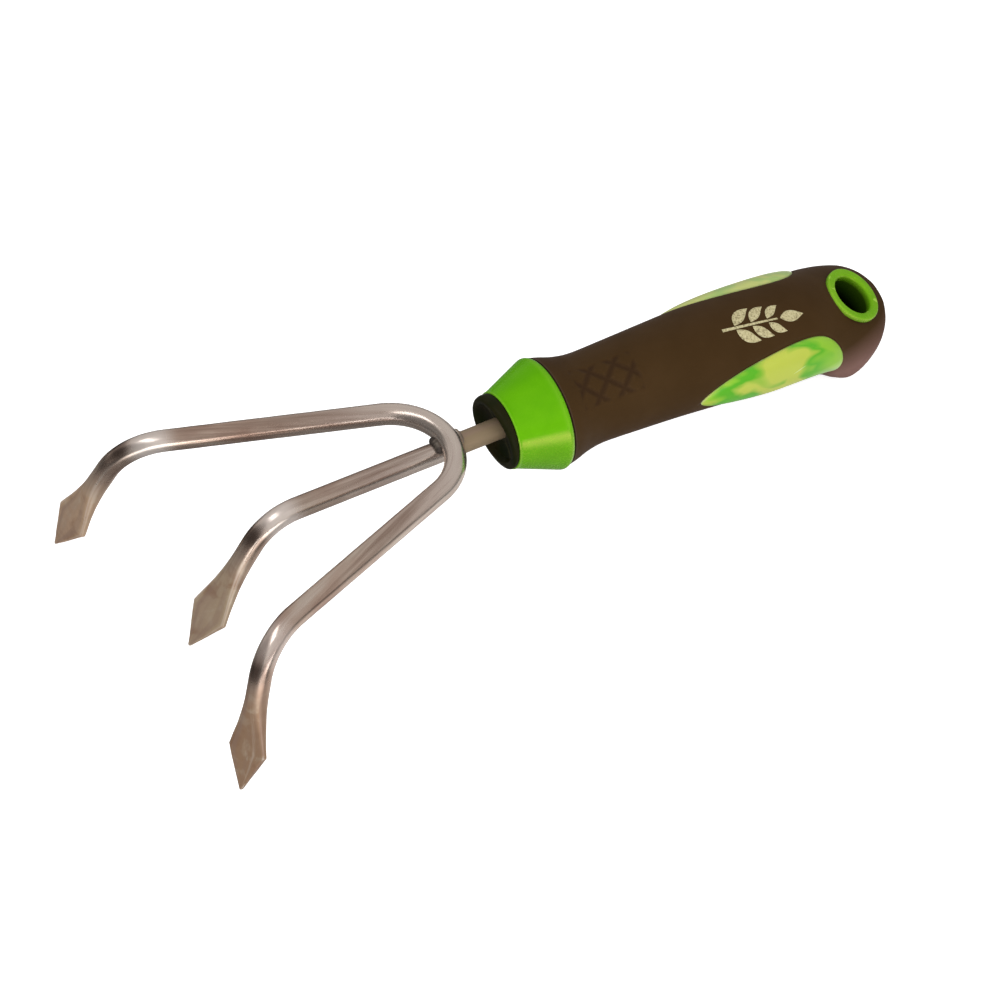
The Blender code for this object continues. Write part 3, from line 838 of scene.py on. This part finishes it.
def eyelet_frame():
    """Turns and moves an X-axis revolve so its axis stands on the grip's sloping end."""
    section = grip_section(EYELET_X)
    seat = Matrix.Translation((EYELET_X, 0, section[2] + EYELET_PROUD))
    upright = Matrix.Rotation(EYELET_TILT - pi / 2, 4, "Y")
    return Matrix.Rotation(GRIP_TURN, 4, "X") @ seat @ upright


def eyelet_shape():
    """A rolled rim over a tube along the hang hole."""
    length = 50 * MM
    rim = EYELET_RIM_R
    hole = EYELET_HOLE_R
    outer_edge = 0.55 * MM
    inner_edge = 1.1 * MM
    profile = [(-length, hole), (-length, EYELET_TUBE_R)]
    profile += [(-EYELET_RIM_DEPTH, EYELET_TUBE_R), (-EYELET_RIM_DEPTH, rim)]
    profile += arc((-outer_edge, rim - outer_edge), outer_edge, 90, 0, 8)
    profile += arc((-inner_edge, hole + inner_edge), inner_edge, 0, -90, 14)
    profile += [(-i * 2 * MM, hole) for i in range(1, 24)]
    bm = revolve(profile, 128)
    bm.transform(eyelet_frame())
    return bm


def eyelet_cutter():
    clear = 0.08 * MM
    rim = EYELET_RIM_R + clear
    tube = EYELET_TUBE_R + clear
    under = -EYELET_RIM_DEPTH - clear
    profile = [(-50 * MM, tube), (under, tube), (under, rim), (6 * MM, rim)]
    bm = revolve(profile, 128, closed=False)
    bm.transform(eyelet_frame())
    return bm


def eyelet_trim():
    """The grip's skin, swollen a little, that trims the eyelet's lower end."""
    rings = []
    for t in grip_parameters()[::3]:
        section = section_at(t)
        section[2] += 8 * MM
        section[1] += 6 * MM
        section[0] += 6 * MM * smooth((section[0] - 130 * MM) / (12 * MM))
        rings.append([grip_point(section, 2 * pi * i / 80, 0.2 * MM) for i in range(80)])
    return loft(rings)


def build_grip():
    skin, pressed = grip_skin()
    sleeve = make_object("grip_sleeve_rubber", skin, sharp=50)
    store_values(sleeve, "pressed", pressed)
    cut(sleeve, grip_hollow(), pad_pocket(-1), pad_pocket(1), eyelet_cutter(), sharp=50)
    return sleeve


def build_eyelet():
    eyelet = make_object("hang_hole_eyelet_moulding", eyelet_shape(), sharp=40)
    cut(eyelet, eyelet_trim(), operation="INTERSECT", sharp=40)
    upright = eyelet_frame().inverted()
    # Depth down the bore, for the painted shade in it
    depths = [-(upright @ vertex.co).x / BORE_FADE for vertex in eyelet.data.vertices]
    store_values(eyelet, "depth", [max(0.0, min(1.0, depth)) for depth in depths])
    return eyelet


# Printed sprig


def print_place(along, across, lift):
    """A point over the grip's skin, from distances along the shaft and round the section."""
    x = along * cos(PRINT_LEAN) - across * sin(PRINT_LEAN)
    y = along * sin(PRINT_LEAN) + across * cos(PRINT_LEAN)
    return grip_point(grip_section(PRINT_X + x), PRINT_ANGLE + y / PAD_SKIN_R, -lift)


def add_band(bm, path, half_widths):
    """Raises a band of changing width along a path as a thin closed solid on the skin."""
    rings = []
    for i, (x, y) in enumerate(path):
        ax, ay = path[max(0, i - 1)]
        bx, by = path[min(len(path) - 1, i + 1)]
        run = sqrt((bx - ax) ** 2 + (by - ay) ** 2)
        across = half_widths[i] / run
        shares = [k / 3 for k in range(-3, 4)]
        spots = [(x - (by - ay) * across * k, y + (bx - ax) * across * k) for k in shares]
        ring = [print_place(px, py, PRINT_PROUD) for px, py in spots]
        ring += [print_place(px, py, -0.05 * MM) for px, py in reversed(spots)]
        rings.append(ring)
    loft(rings, bm=bm)


def add_leaf(bm, base, heading, length, half_width, steps=16):
    """An almond-shaped leaf that starts at base and curves a little towards the stem's tip."""
    path = []
    widths = []
    for i in range(steps + 1):
        t = i / steps
        turn = heading * (1 - 0.35 * t)
        path.append((base[0] + length * t * cos(turn), base[1] + length * t * sin(turn)))
        widths.append(max(0.05 * MM, half_width * sin(pi * t**0.85)))
    add_band(bm, path, widths)


def build_print():
    """A stem with three pairs of leaves and one at its tip."""
    bm = bmesh.new()
    steps = 24
    stem = []
    for i in range(steps + 1):
        stem.append((-STEM_HALF_LENGTH + 1.6 * STEM_HALF_LENGTH * i / steps, 0.0))
    add_band(bm, stem, [STEM_HALF_WIDTH * (1.25 - 0.6 * i / steps) for i in range(steps + 1)])
    for pair in range(3):
        start = -0.62 * STEM_HALF_LENGTH + pair * 0.47 * STEM_HALF_LENGTH
        for side in (-1, 1):
            base = (start, side * 0.75 * MM)
            size = 1.0 - 0.12 * pair
            add_leaf(bm, base, side * LEAF_HEADING, LEAF_LENGTH * size, LEAF_HALF_WIDTH * size)
    add_leaf(bm, (0.68 * STEM_HALF_LENGTH, 0.0), 0.0, LEAF_LENGTH, LEAF_HALF_WIDTH)
    return make_object("sprig_print", bm, sharp=30)


# Materials


class Graph:
    """A node tree with short calls for its nodes."""

    def __init__(self, tree):
        self.tree = tree

    def fill(self, socket, value):
        """Links an input to a node's output, or sets it to a plain value."""
        if isinstance(value, bpy.types.NodeSocket):
            self.tree.links.new(value, socket)
        else:
            socket.default_value = value

    def new(self, kind):
        return self.tree.nodes.new("ShaderNode" + kind)

    def node(self, kind, **inputs):
        """Adds a node, fills its inputs by name and returns its first output."""
        made = self.new(kind)
        for key, value in inputs.items():
            self.fill(made.inputs[key.replace("_", " ")], value)
        return made.outputs[0]

    def along(self, axis, vector):
        """The X, Y or Z share of a vector."""
        made = self.new("SeparateXYZ")
        self.fill(made.inputs[0], vector)
        return made.outputs[axis]

    def remap(self, value, start, end, low=0.0, high=1.0):
        """Goes from low at the value start to high at end, and stays there beyond them."""
        return self.node("MapRange", Value=value, From_Min=start, From_Max=end, To_Min=low,
                         To_Max=high)

    def ramp(self, factor, stops):
        """A colour or value ramp; stops are (position, colour or value)."""
        made = self.new("ValToRGB")
        bar = made.color_ramp.elements
        while len(bar) < len(stops):
            bar.new(1.0)
        for element, (at, value) in zip(bar, stops):
            element.position = at
            colour = value if isinstance(value, tuple) else (value, value, value)
            element.color = (*colour, 1.0)
        self.fill(made.inputs["Fac"], factor)
        return made.outputs["Color"]

    def mix(self, factor, a, b, kind="MIX"):
        made = self.new("Mix")
        made.data_type = "RGBA"
        made.blend_type = kind
        for index, value in ((0, factor), (6, a), (7, b)):
            self.fill(made.inputs[index], (*value, 1.0) if isinstance(value, tuple) else value)
        return made.outputs[2]

    def math(self, operation, a, b):
        made = self.new("Math")
        made.operation = operation
        self.fill(made.inputs[0], a)
        self.fill(made.inputs[1], b)
        return made.outputs[0]

    def times(self, a, b):
        return self.math("MULTIPLY", a, b)

    def split(self, output, plain, mirrored):
        """Shows one shader to mirror reflections and another to all other rays."""
        mixer = self.new("MixShader")
        glossy = self.new("LightPath").outputs["Is Glossy Ray"]
        for socket, value in zip(mixer.inputs, (glossy, plain, mirrored)):
            self.fill(socket, value)
        self.fill(self.tree.nodes[output].inputs["Surface"], mixer.outputs[0])


class Look(Graph):
    """A Principled material."""

    def __init__(self, name, **inputs):
        self.material = bpy.data.materials.new(name)
        self.material.use_nodes = True
        super().__init__(self.material.node_tree)
        self.shader = self.tree.nodes["Principled BSDF"]
        for key, value in inputs.items():
            self.set(key.replace("_", " "), value)

    def set(self, name, value):
        """Fills one input of the Principled shader."""
        self.fill(self.shader.inputs[name], value)

    def paint(self, share, colour):
        """Lays a colour over the base colour, by share."""
        self.colour = self.mix(share, self.colour, colour)
        self.set("Base Color", self.colour)

    def place(self, stretch=(1, 1, 1)):
        """Object coordinates, stretched for grain that runs one way."""
        return self.node("Mapping", Vector=self.new("TexCoord").outputs["Object"], Scale=stretch)

    def geometry(self, name):
        """One output of the Geometry node."""
        return self.new("NewGeometry").outputs[name]

    def attribute(self, name, out="Fac"):
        made = self.new("Attribute")
        made.attribute_name = name
        return made.outputs[out]

    def noise(self, scale, detail, rough, distort=0.0, where=None):
        """Fine noise over the object, or over the coordinates given."""
        return self.node("TexNoise", Vector=self.place() if where is None else where, Scale=scale,
                         Detail=detail, Roughness=rough, Distortion=distort)

    def edges(self, low=0.5, high=0.58):
        """1 on convex edges and 0 on flat ground."""
        return self.ramp(self.geometry("Pointiness"), [(low, 0.0), (high, 1.0)])

    def bump(self, height, strength, distance):
        self.set("Normal", self.node("Bump", Strength=strength, Distance=distance, Height=height))


def steel_look():
    """Bright drawn rod, streaked along its length, browner and duller on the forged points."""
    look = Look("steel_rod", Metallic=1.0)
    straight = look.attribute("straight", "Vector")
    drawn = look.node("Mapping", Vector=straight, Scale=(14, 420, 420))
    streaks = look.noise(1.0, 5, 0.6, where=drawn)
    spread = look.node("Mapping", Vector=straight, Scale=(55, 110, 110))
    patches = look.noise(1.0, 3, 0.5, where=spread)
    pits = look.noise(900, 2, 0.6)
    dull = look.ramp(look.attribute("tip"), [(0.18, 0.0), (0.45, 1.0)])
    matt = look.attribute("matt")
    broken = look.ramp(patches, [(0.3, 0.55), (0.55, 1.0)])
    # Painted highlight: a bright patch on each bend, broken up by the patches
    shine = look.times(look.attribute("bend"), broken)
    bow = look.remap(look.along("X", look.place()), -70 * MM, -25 * MM)
    look.colour = look.ramp(patches, [(0.3, (0.44, 0.29, 0.23)), (0.5, (0.60, 0.46, 0.38)),
                                      (0.75, (0.68, 0.58, 0.49))])
    look.paint(look.times(bow, 0.7), (0.84, 0.76, 0.70))
    look.paint(dull, forged_colour(look))
    look.paint(matt, (0.29, 0.215, 0.13))
    look.paint(look.ramp(streaks, [(0.3, 0.8), (0.52, 0.0)]), (0.30, 0.20, 0.155))
    look.paint(look.times(look.edges(0.52, 0.62), 0.6), (0.70, 0.62, 0.52))
    # Painted highlight on each bend, then the painted dark reflection (the "scale" attribute)
    # beside it
    look.paint(look.times(shine, 0.6), (0.84, 0.78, 0.74))
    look.paint(look.times(look.attribute("scale"), 0.8), (0.13, 0.09, 0.075))
    pale = look.ramp(streaks, [(0.55, 0.0), (0.75, 0.6)])
    pale = look.times(pale, look.math("SUBTRACT", 1.0, matt))
    look.paint(pale, (0.84, 0.76, 0.68))
    rough = look.math("MAXIMUM", dull, matt)
    metal = look.math("SUBTRACT", 0.93, look.times(rough, 0.58))
    # Less metallic where the bend's highlight is painted
    look.set("Metallic", look.math("SUBTRACT", metal, look.times(shine, 0.3)))
    worn = look.ramp(streaks, [(0.3, 0.26), (0.7, 0.17)])
    worn = look.mix(look.times(bow, 0.2), worn, (0.42, 0.42, 0.42))
    worn = look.mix(rough, worn, (0.45, 0.45, 0.45))
    look.set("Roughness", look.mix(0.25, worn, pits, "OVERLAY"))
    look.bump(look.math("ADD", look.times(streaks, 0.6), look.times(pits, 0.4)), 0.35, 0.06 * MM)
    return look.material


def forged_colour(look):
    """Colour of the forged points: redder on the near tine, with rust and bare specks."""
    blotches = look.noise(150, 3, 0.6, 0.4)
    aside = look.remap(look.along("Y", look.place()), -60 * MM, 60 * MM)
    colour = look.ramp(aside, [(0.1, (0.33, 0.205, 0.125)), (0.5, (0.44, 0.33, 0.22)),
                               (0.9, (0.50, 0.34, 0.22))])
    colour = look.mix(look.ramp(blotches, [(0.34, 0.75), (0.5, 0.0)]), colour, (0.28, 0.155, 0.09))
    bare = look.ramp(blotches, [(0.55, 0.0), (0.75, 0.6)])
    return look.mix(bare, colour, (0.56, 0.48, 0.36))


def weld_look(name, dark, middle, pale):
    """Weld metal with a coarse skin, in three shades."""
    look = Look(name, Metallic=0.5)
    coarse = look.noise(700, 4, 0.7)
    tint = look.noise(240, 2, 0.5)
    look.colour = look.ramp(tint, [(0.3, dark), (0.55, middle), (0.75, pale)])
    look.paint(look.times(look.edges(), 0.4), (0.38, 0.31, 0.27))
    look.set("Roughness", look.ramp(coarse, [(0.3, 0.38), (0.7, 0.62)]))
    look.bump(coarse, 0.5, 0.2 * MM)
    return look.material


def green_look(name, deep, light):
    """Glossy green moulding: painted highlit lips, little shine on top, painted shade black in the
    bore.
    """
    look = Look(name, IOR=1.65, Specular_Tint=(1.0, 0.62, 0.22, 1.0))
    flow = look.noise(90, 3, 0.5, 0.3)
    scuffs = look.noise(1400, 3, 0.6)
    depth = look.attribute("depth")
    look.colour = look.ramp(flow, [(0.3, deep), (0.7, light)])
    # Painted highlight: the convex lips are painted lighter, but not deep in the bore
    lip = look.times(look.edges(0.505, 0.57), look.ramp(depth, [(0.02, 0.9), (0.1, 0.0)]))
    look.paint(lip, (0.36, 0.60, 0.07))
    # Painted shade: the bore is painted near black with depth
    look.paint(look.ramp(depth, [(0.04, 0.0), (0.2, 0.9), (0.6, 1.0)]), (0.002, 0.005, 0.0005))
    look.set("Roughness", look.ramp(scuffs, [(0.35, 0.22), (0.75, 0.32)]))
    # Shine taken off where the surface faces up, and deep in the bore
    reflection_below_top = look.remap(look.along("Z", look.geometry("Normal")), 0.42, 0.32, 0.06, 1.0)
    reflection_outside_bore = look.ramp(depth, [(0.05, 1.0), (0.2, 0.03)])
    look.set("Specular IOR Level", look.times(reflection_below_top, reflection_outside_bore))
    look.bump(look.noise(500, 2, 0.5), 0.03, 0.05 * MM)
    return look.material


def dark_look():
    """Near-black brown plastic with a soft shine."""
    look = Look("dark_moulding", Specular_IOR_Level=0.06)
    grain = look.noise(1800, 3, 0.6)
    tint = look.noise(160, 2, 0.5)
    look.colour = look.ramp(tint, [(0.3, (0.004, 0.009, 0.0006)), (0.7, (0.014, 0.011, 0.003))])
    look.paint(look.edges(), (0.035, 0.032, 0.012))
    look.set("Roughness", look.ramp(grain, [(0.3, 0.34), (0.7, 0.5)]))
    look.bump(grain, 0.15, 0.05 * MM)
    return look.material


def rubber_look():
    """Matt brown overmould: fine dusty grain, paler edges, painted purplish reflection under the
    butt.
    """
    look = Look("brown_overmould", Specular_IOR_Level=0.1, Sheen_Weight=0.03,
                Sheen_Roughness=0.4, Sheen_Tint=(0.75, 0.5, 0.5, 1.0))
    grain = look.noise(2600, 3, 0.65)
    handling = look.noise(60, 3, 0.55)
    look.colour = look.ramp(handling, [(0.3, (0.046, 0.0222, 0.005)),
                                       (0.7, (0.055, 0.0275, 0.0075))])
    look.paint(look.times(look.edges(0.51, 0.57), 0.3), (0.12, 0.08, 0.06))
    look.paint(look.ramp(grain, [(0.55, 0.0), (0.85, 0.15)]), (0.08, 0.05, 0.035))
    # Painted reflection: the underside of the butt is painted purplish, as a sheen
    behind = look.remap(look.along("X", look.place()), 110 * MM, 119 * MM)
    below = look.remap(look.along("Z", look.place()), -11 * MM, -21 * MM)
    look.paint(look.times(look.times(behind, below), 0.9), (0.23, 0.125, 0.105))
    look.paint(look.times(look.attribute("pressed"), 0.5), (0.022, 0.009, 0.005))
    look.set("Roughness", look.ramp(handling, [(0.3, 0.62), (0.75, 0.50)]))
    look.bump(grain, 0.25, 0.08 * MM)
    return look.material


def gel_look(name, lit_share):
    """Soft translucent gel, marbled green and yellow; painted reflection low down, painted light by
    a share.
    """
    look = Look(name, Coat_Weight=0.2, Coat_Roughness=0.15, Specular_IOR_Level=0.3,
                Subsurface_Weight=0.3, Subsurface_Radius=(0.8, 1.0, 0.3),
                Subsurface_Scale=3 * MM)
    reach = look.remap(look.along("X", look.place()), PAD_FRONT_X, PAD_REAR_X)
    swirl = look.noise(95, 1.6, 0.45, 0.9, where=look.place((0.6, 1, 1)))
    wander = look.math("ADD", reach, look.times(look.math("SUBTRACT", swirl, 0.5), 0.9))
    green = (0.10, 0.44, 0.012)
    lime = (0.27, 0.54, 0.03)
    yellow = (0.50, 0.57, 0.075)
    look.colour = look.ramp(wander, [(0.08, yellow), (0.18, lime), (0.27, green), (0.36, green),
                                     (0.47, yellow), (0.66, yellow), (0.78, green), (0.90, lime)])
    look.paint(look.edges(0.51, 0.6), (0.62, 0.74, 0.34))
    # Painted reflection: the pad is painted paler low down, for the light table's glow on it
    thin = look.remap(look.along("Z", look.place()), -13 * MM, -19 * MM)
    look.paint(look.times(thin, 0.65), (0.74, 0.84, 0.45))
    # Painted light: the far pad's copy of the gel is painted paler by this share
    look.paint(lit_share, (0.56, 0.60, 0.27))
    look.set("Roughness", look.ramp(swirl, [(0.3, 0.28), (0.7, 0.4)]))
    look.bump(look.noise(420, 2, 0.5), 0.12, 0.08 * MM)
    return look.material


def ink_look():
    """Cream print, worn thin over the grain."""
    look = Look("cream_print")
    worn = look.noise(1500, 4, 0.7)
    colour = look.ramp(worn, [(0.36, (0.20, 0.15, 0.08)), (0.48, (0.52, 0.46, 0.24)),
                              (0.7, (0.66, 0.60, 0.36))])
    look.set("Base Color", colour)
    look.set("Roughness", look.ramp(worn, [(0.3, 0.7), (0.7, 0.5)]))
    look.bump(worn, 0.25, 0.05 * MM)
    return look.material


# Studio


SKY = 0.78  # brightness of the even sky
STUDIO_DARK = 0.14  # brightness that mirror reflections see towards -X, and elsewhere
STUDIO_LIGHT = 0.52
HORIZON_GLOW = 2.2  # brightness of the floor's front horizon in mirror reflections
TABLE_GLOW = 0.7  # what the light table adds to the floor as the camera sees it
FLOOR_HALF = 6.0  # half the floor's width
TIPS_INSET = 8 * MM  # from the model's -X face back to where the points rest


def build_world():
    """One even sky for soft light; mirror reflections see a darker studio, darkest towards -X."""
    world = bpy.data.worlds.new("studio")
    bpy.context.scene.world = world
    world.use_nodes = True
    graph = Graph(world.node_tree)
    direction = graph.new("TexCoord").outputs["Generated"]
    studio = graph.remap(graph.along("X", direction), -0.66, -0.45, STUDIO_DARK, STUDIO_LIGHT)
    sky = graph.node("Background", Strength=SKY)
    mirror = graph.node("Background", Color=(1.0, 0.95, 0.91, 1.0), Strength=studio)
    graph.split("World Output", sky, mirror)


def mirrored_floor(look):
    """Brightness of the floor in mirror reflections, by the way back along the ray."""
    incoming = look.geometry("Incoming")
    x = look.along("X", incoming)
    z = look.along("Z", incoming)
    shade = look.times(look.remap(x, -0.55, -0.22, 0.78, 0.2), look.remap(z, 0.12, 0.42, 0.15, 1.0))
    front = look.times(look.remap(x, -0.2, -0.05), look.remap(look.along("Y", incoming), 0.5, 0.75))
    level = look.remap(z, 0.42, 0.24)
    band = look.times(look.times(front, level), HORIZON_GLOW)
    return look.math("ADD", shade, band)


def floor_look():
    """White light table; mirror reflections see it dark but for its +X side and front horizon."""
    look = Look("pale_floor", Base_Color=(0.88, 0.88, 0.88, 1.0), Roughness=0.9,
                Specular_IOR_Level=0.0, Emission_Color=(1.0, 1.0, 1.0, 1.0))
    seen = look.new("LightPath").outputs["Is Camera Ray"]
    look.set("Emission Strength", look.times(seen, TABLE_GLOW))
    glow = look.node("Emission", Strength=mirrored_floor(look), Color=(1.0, 0.97, 0.94, 1.0))
    look.split("Material Output", look.shader.outputs[0], glow)
    return look.material


def build_floor():
    """A wide floor through the tine tips and the underside of the butt."""
    butt_x, _, _, _, butt_z = min(GRIP_STATIONS, key=lambda station: station[-1])
    butt = Vector((butt_x, 0, butt_z)) * MM + ORIGIN
    tips = Vector((cad_low[0] + TIPS_INSET, 0, cad_low[2]))
    slope = atan2(butt.z - tips.z, butt.x - tips.x)
    mesh = bpy.data.meshes.new("studio_floor")
    corners = [(x * FLOOR_HALF, y * FLOOR_HALF, 0) for x, y in ((-1, -1), (1, -1), (1, 1), (-1, 1))]
    mesh.from_pydata(corners, [], [(0, 1, 2, 3)])
    mesh.materials.append(floor_look())
    floor = bpy.data.objects.new("studio_floor", mesh)
    floor.rotation_euler = (0, -slope, 0)
    floor.location = tips - Vector((0, 0, 0.3 * MM))
    bpy.context.collection.objects.link(floor)


def softbox(name, direction, distance, width, height, radiance, mirrored=True):
    """A rectangular light that faces the tool; it can be left out of mirror reflections."""
    data = bpy.data.lights.new(name, "AREA")
    data.shape = "RECTANGLE"
    data.size = width
    data.size_y = height
    data.energy = radiance * pi * width * height
    light = bpy.data.objects.new(name, data)
    away = Vector(direction).normalized()
    light.location = ORIGIN + away * distance
    light.visible_glossy = mirrored
    light.rotation_mode = "QUATERNION"
    light.rotation_quaternion = (-away).to_track_quat("-Z", "Y")
    bpy.context.collection.objects.link(light)


def build_lights():
    softbox("front_strip", (-0.20, -0.96, 0.05), 1.5, 1.5, 0.26, 2.6)
    softbox("left_strip", (-0.43, 0.0, 0.90), 1.5, 1.2, 0.34, 2.6)
    softbox("front_fill", (-0.25, -0.70, 0.66), 1.6, 1.2, 1.0, 2.6, mirrored=False)


def build_camera():
    a = CAMERA_AZIMUTH
    e = CAMERA_ELEVATION
    back = Vector((sin(a) * cos(e), -cos(a) * cos(e), sin(e)))
    level = Vector((cos(a), sin(a), 0))
    right = Matrix.Rotation(CAMERA_ROLL, 3, back) @ level
    up = back.cross(right)
    data = bpy.data.cameras.new("camera")
    data.sensor_width = SENSOR
    data.lens = SENSOR * CAMERA_DISTANCE / FIELD_WIDTH
    data.clip_start = 0.05
    camera = bpy.data.objects.new("camera", data)
    camera.location = ROD_ORIGIN + back * CAMERA_DISTANCE
    aim = ROD_ORIGIN + right * CAMERA_AIM_RIGHT + up * CAMERA_AIM_UP
    behind = (camera.location - aim).normalized()
    right = (right - behind * right.dot(behind)).normalized()
    up = behind.cross(right)
    camera.rotation_mode = "QUATERNION"
    camera.rotation_quaternion = Matrix((right, up, behind)).transposed().to_quaternion()
    bpy.context.collection.objects.link(camera)
    bpy.context.scene.camera = camera
    bpy.context.scene.view_settings.view_transform = "Standard"


def build_pieces():
    steel = steel_look()
    # Front bead painted near black: painted shade in the crease where the bow crosses the middle
    # rod; the rear bead takes paler shades of the same weld metal
    shaded_weld = weld_look("shaded_front_weld", (0.02, 0.016, 0.014), (0.05, 0.04, 0.035),
                         (0.12, 0.1, 0.08))
    pale_weld = weld_look("pale_rear_weld", (0.22, 0.17, 0.13), (0.34, 0.27, 0.21), (0.44, 0.36, 0.29))
    green = green_look("green_moulding", (0.098, 0.375, 0.0025), (0.128, 0.435, 0.004))
    lime = green_look("lime_moulding", (0.13, 0.36, 0.006), (0.19, 0.43, 0.014))
    piece(build_mid_tine(), "centre_tine", steel)
    piece(build_outer_tines(), "outer_tines", steel)
    piece(build_bead("weld_bead_front_metal", -1), "weld_bead_front", shaded_weld)
    piece(build_bead("weld_bead_rear_metal", 1), "weld_bead_rear", pale_weld)
    piece(build_collar(), "front_collar", green)
    piece(build_nose(), "nose_cap", dark_look())
    piece(build_grip(), "grip_sleeve", rubber_look())
    piece(build_pad("gel_pad_left_soft", -1), "gel_pad_left", gel_look("gel", 0.0))
    # The far pad's gel is a lit copy, painted paler
    piece(build_pad("gel_pad_right_soft", 1), "gel_pad_right", gel_look("lit_far_gel", 0.6))
    piece(build_eyelet(), "hang_hole_eyelet", lime)
    mark = build_print()
    mark.data.materials.append(ink_look())
    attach(mark, "root")
    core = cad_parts["handle_core"]
    core.data.materials.clear()
    core.data.materials.append(green)


build_pieces()
build_world()
build_floor()
build_lights()
build_camera()
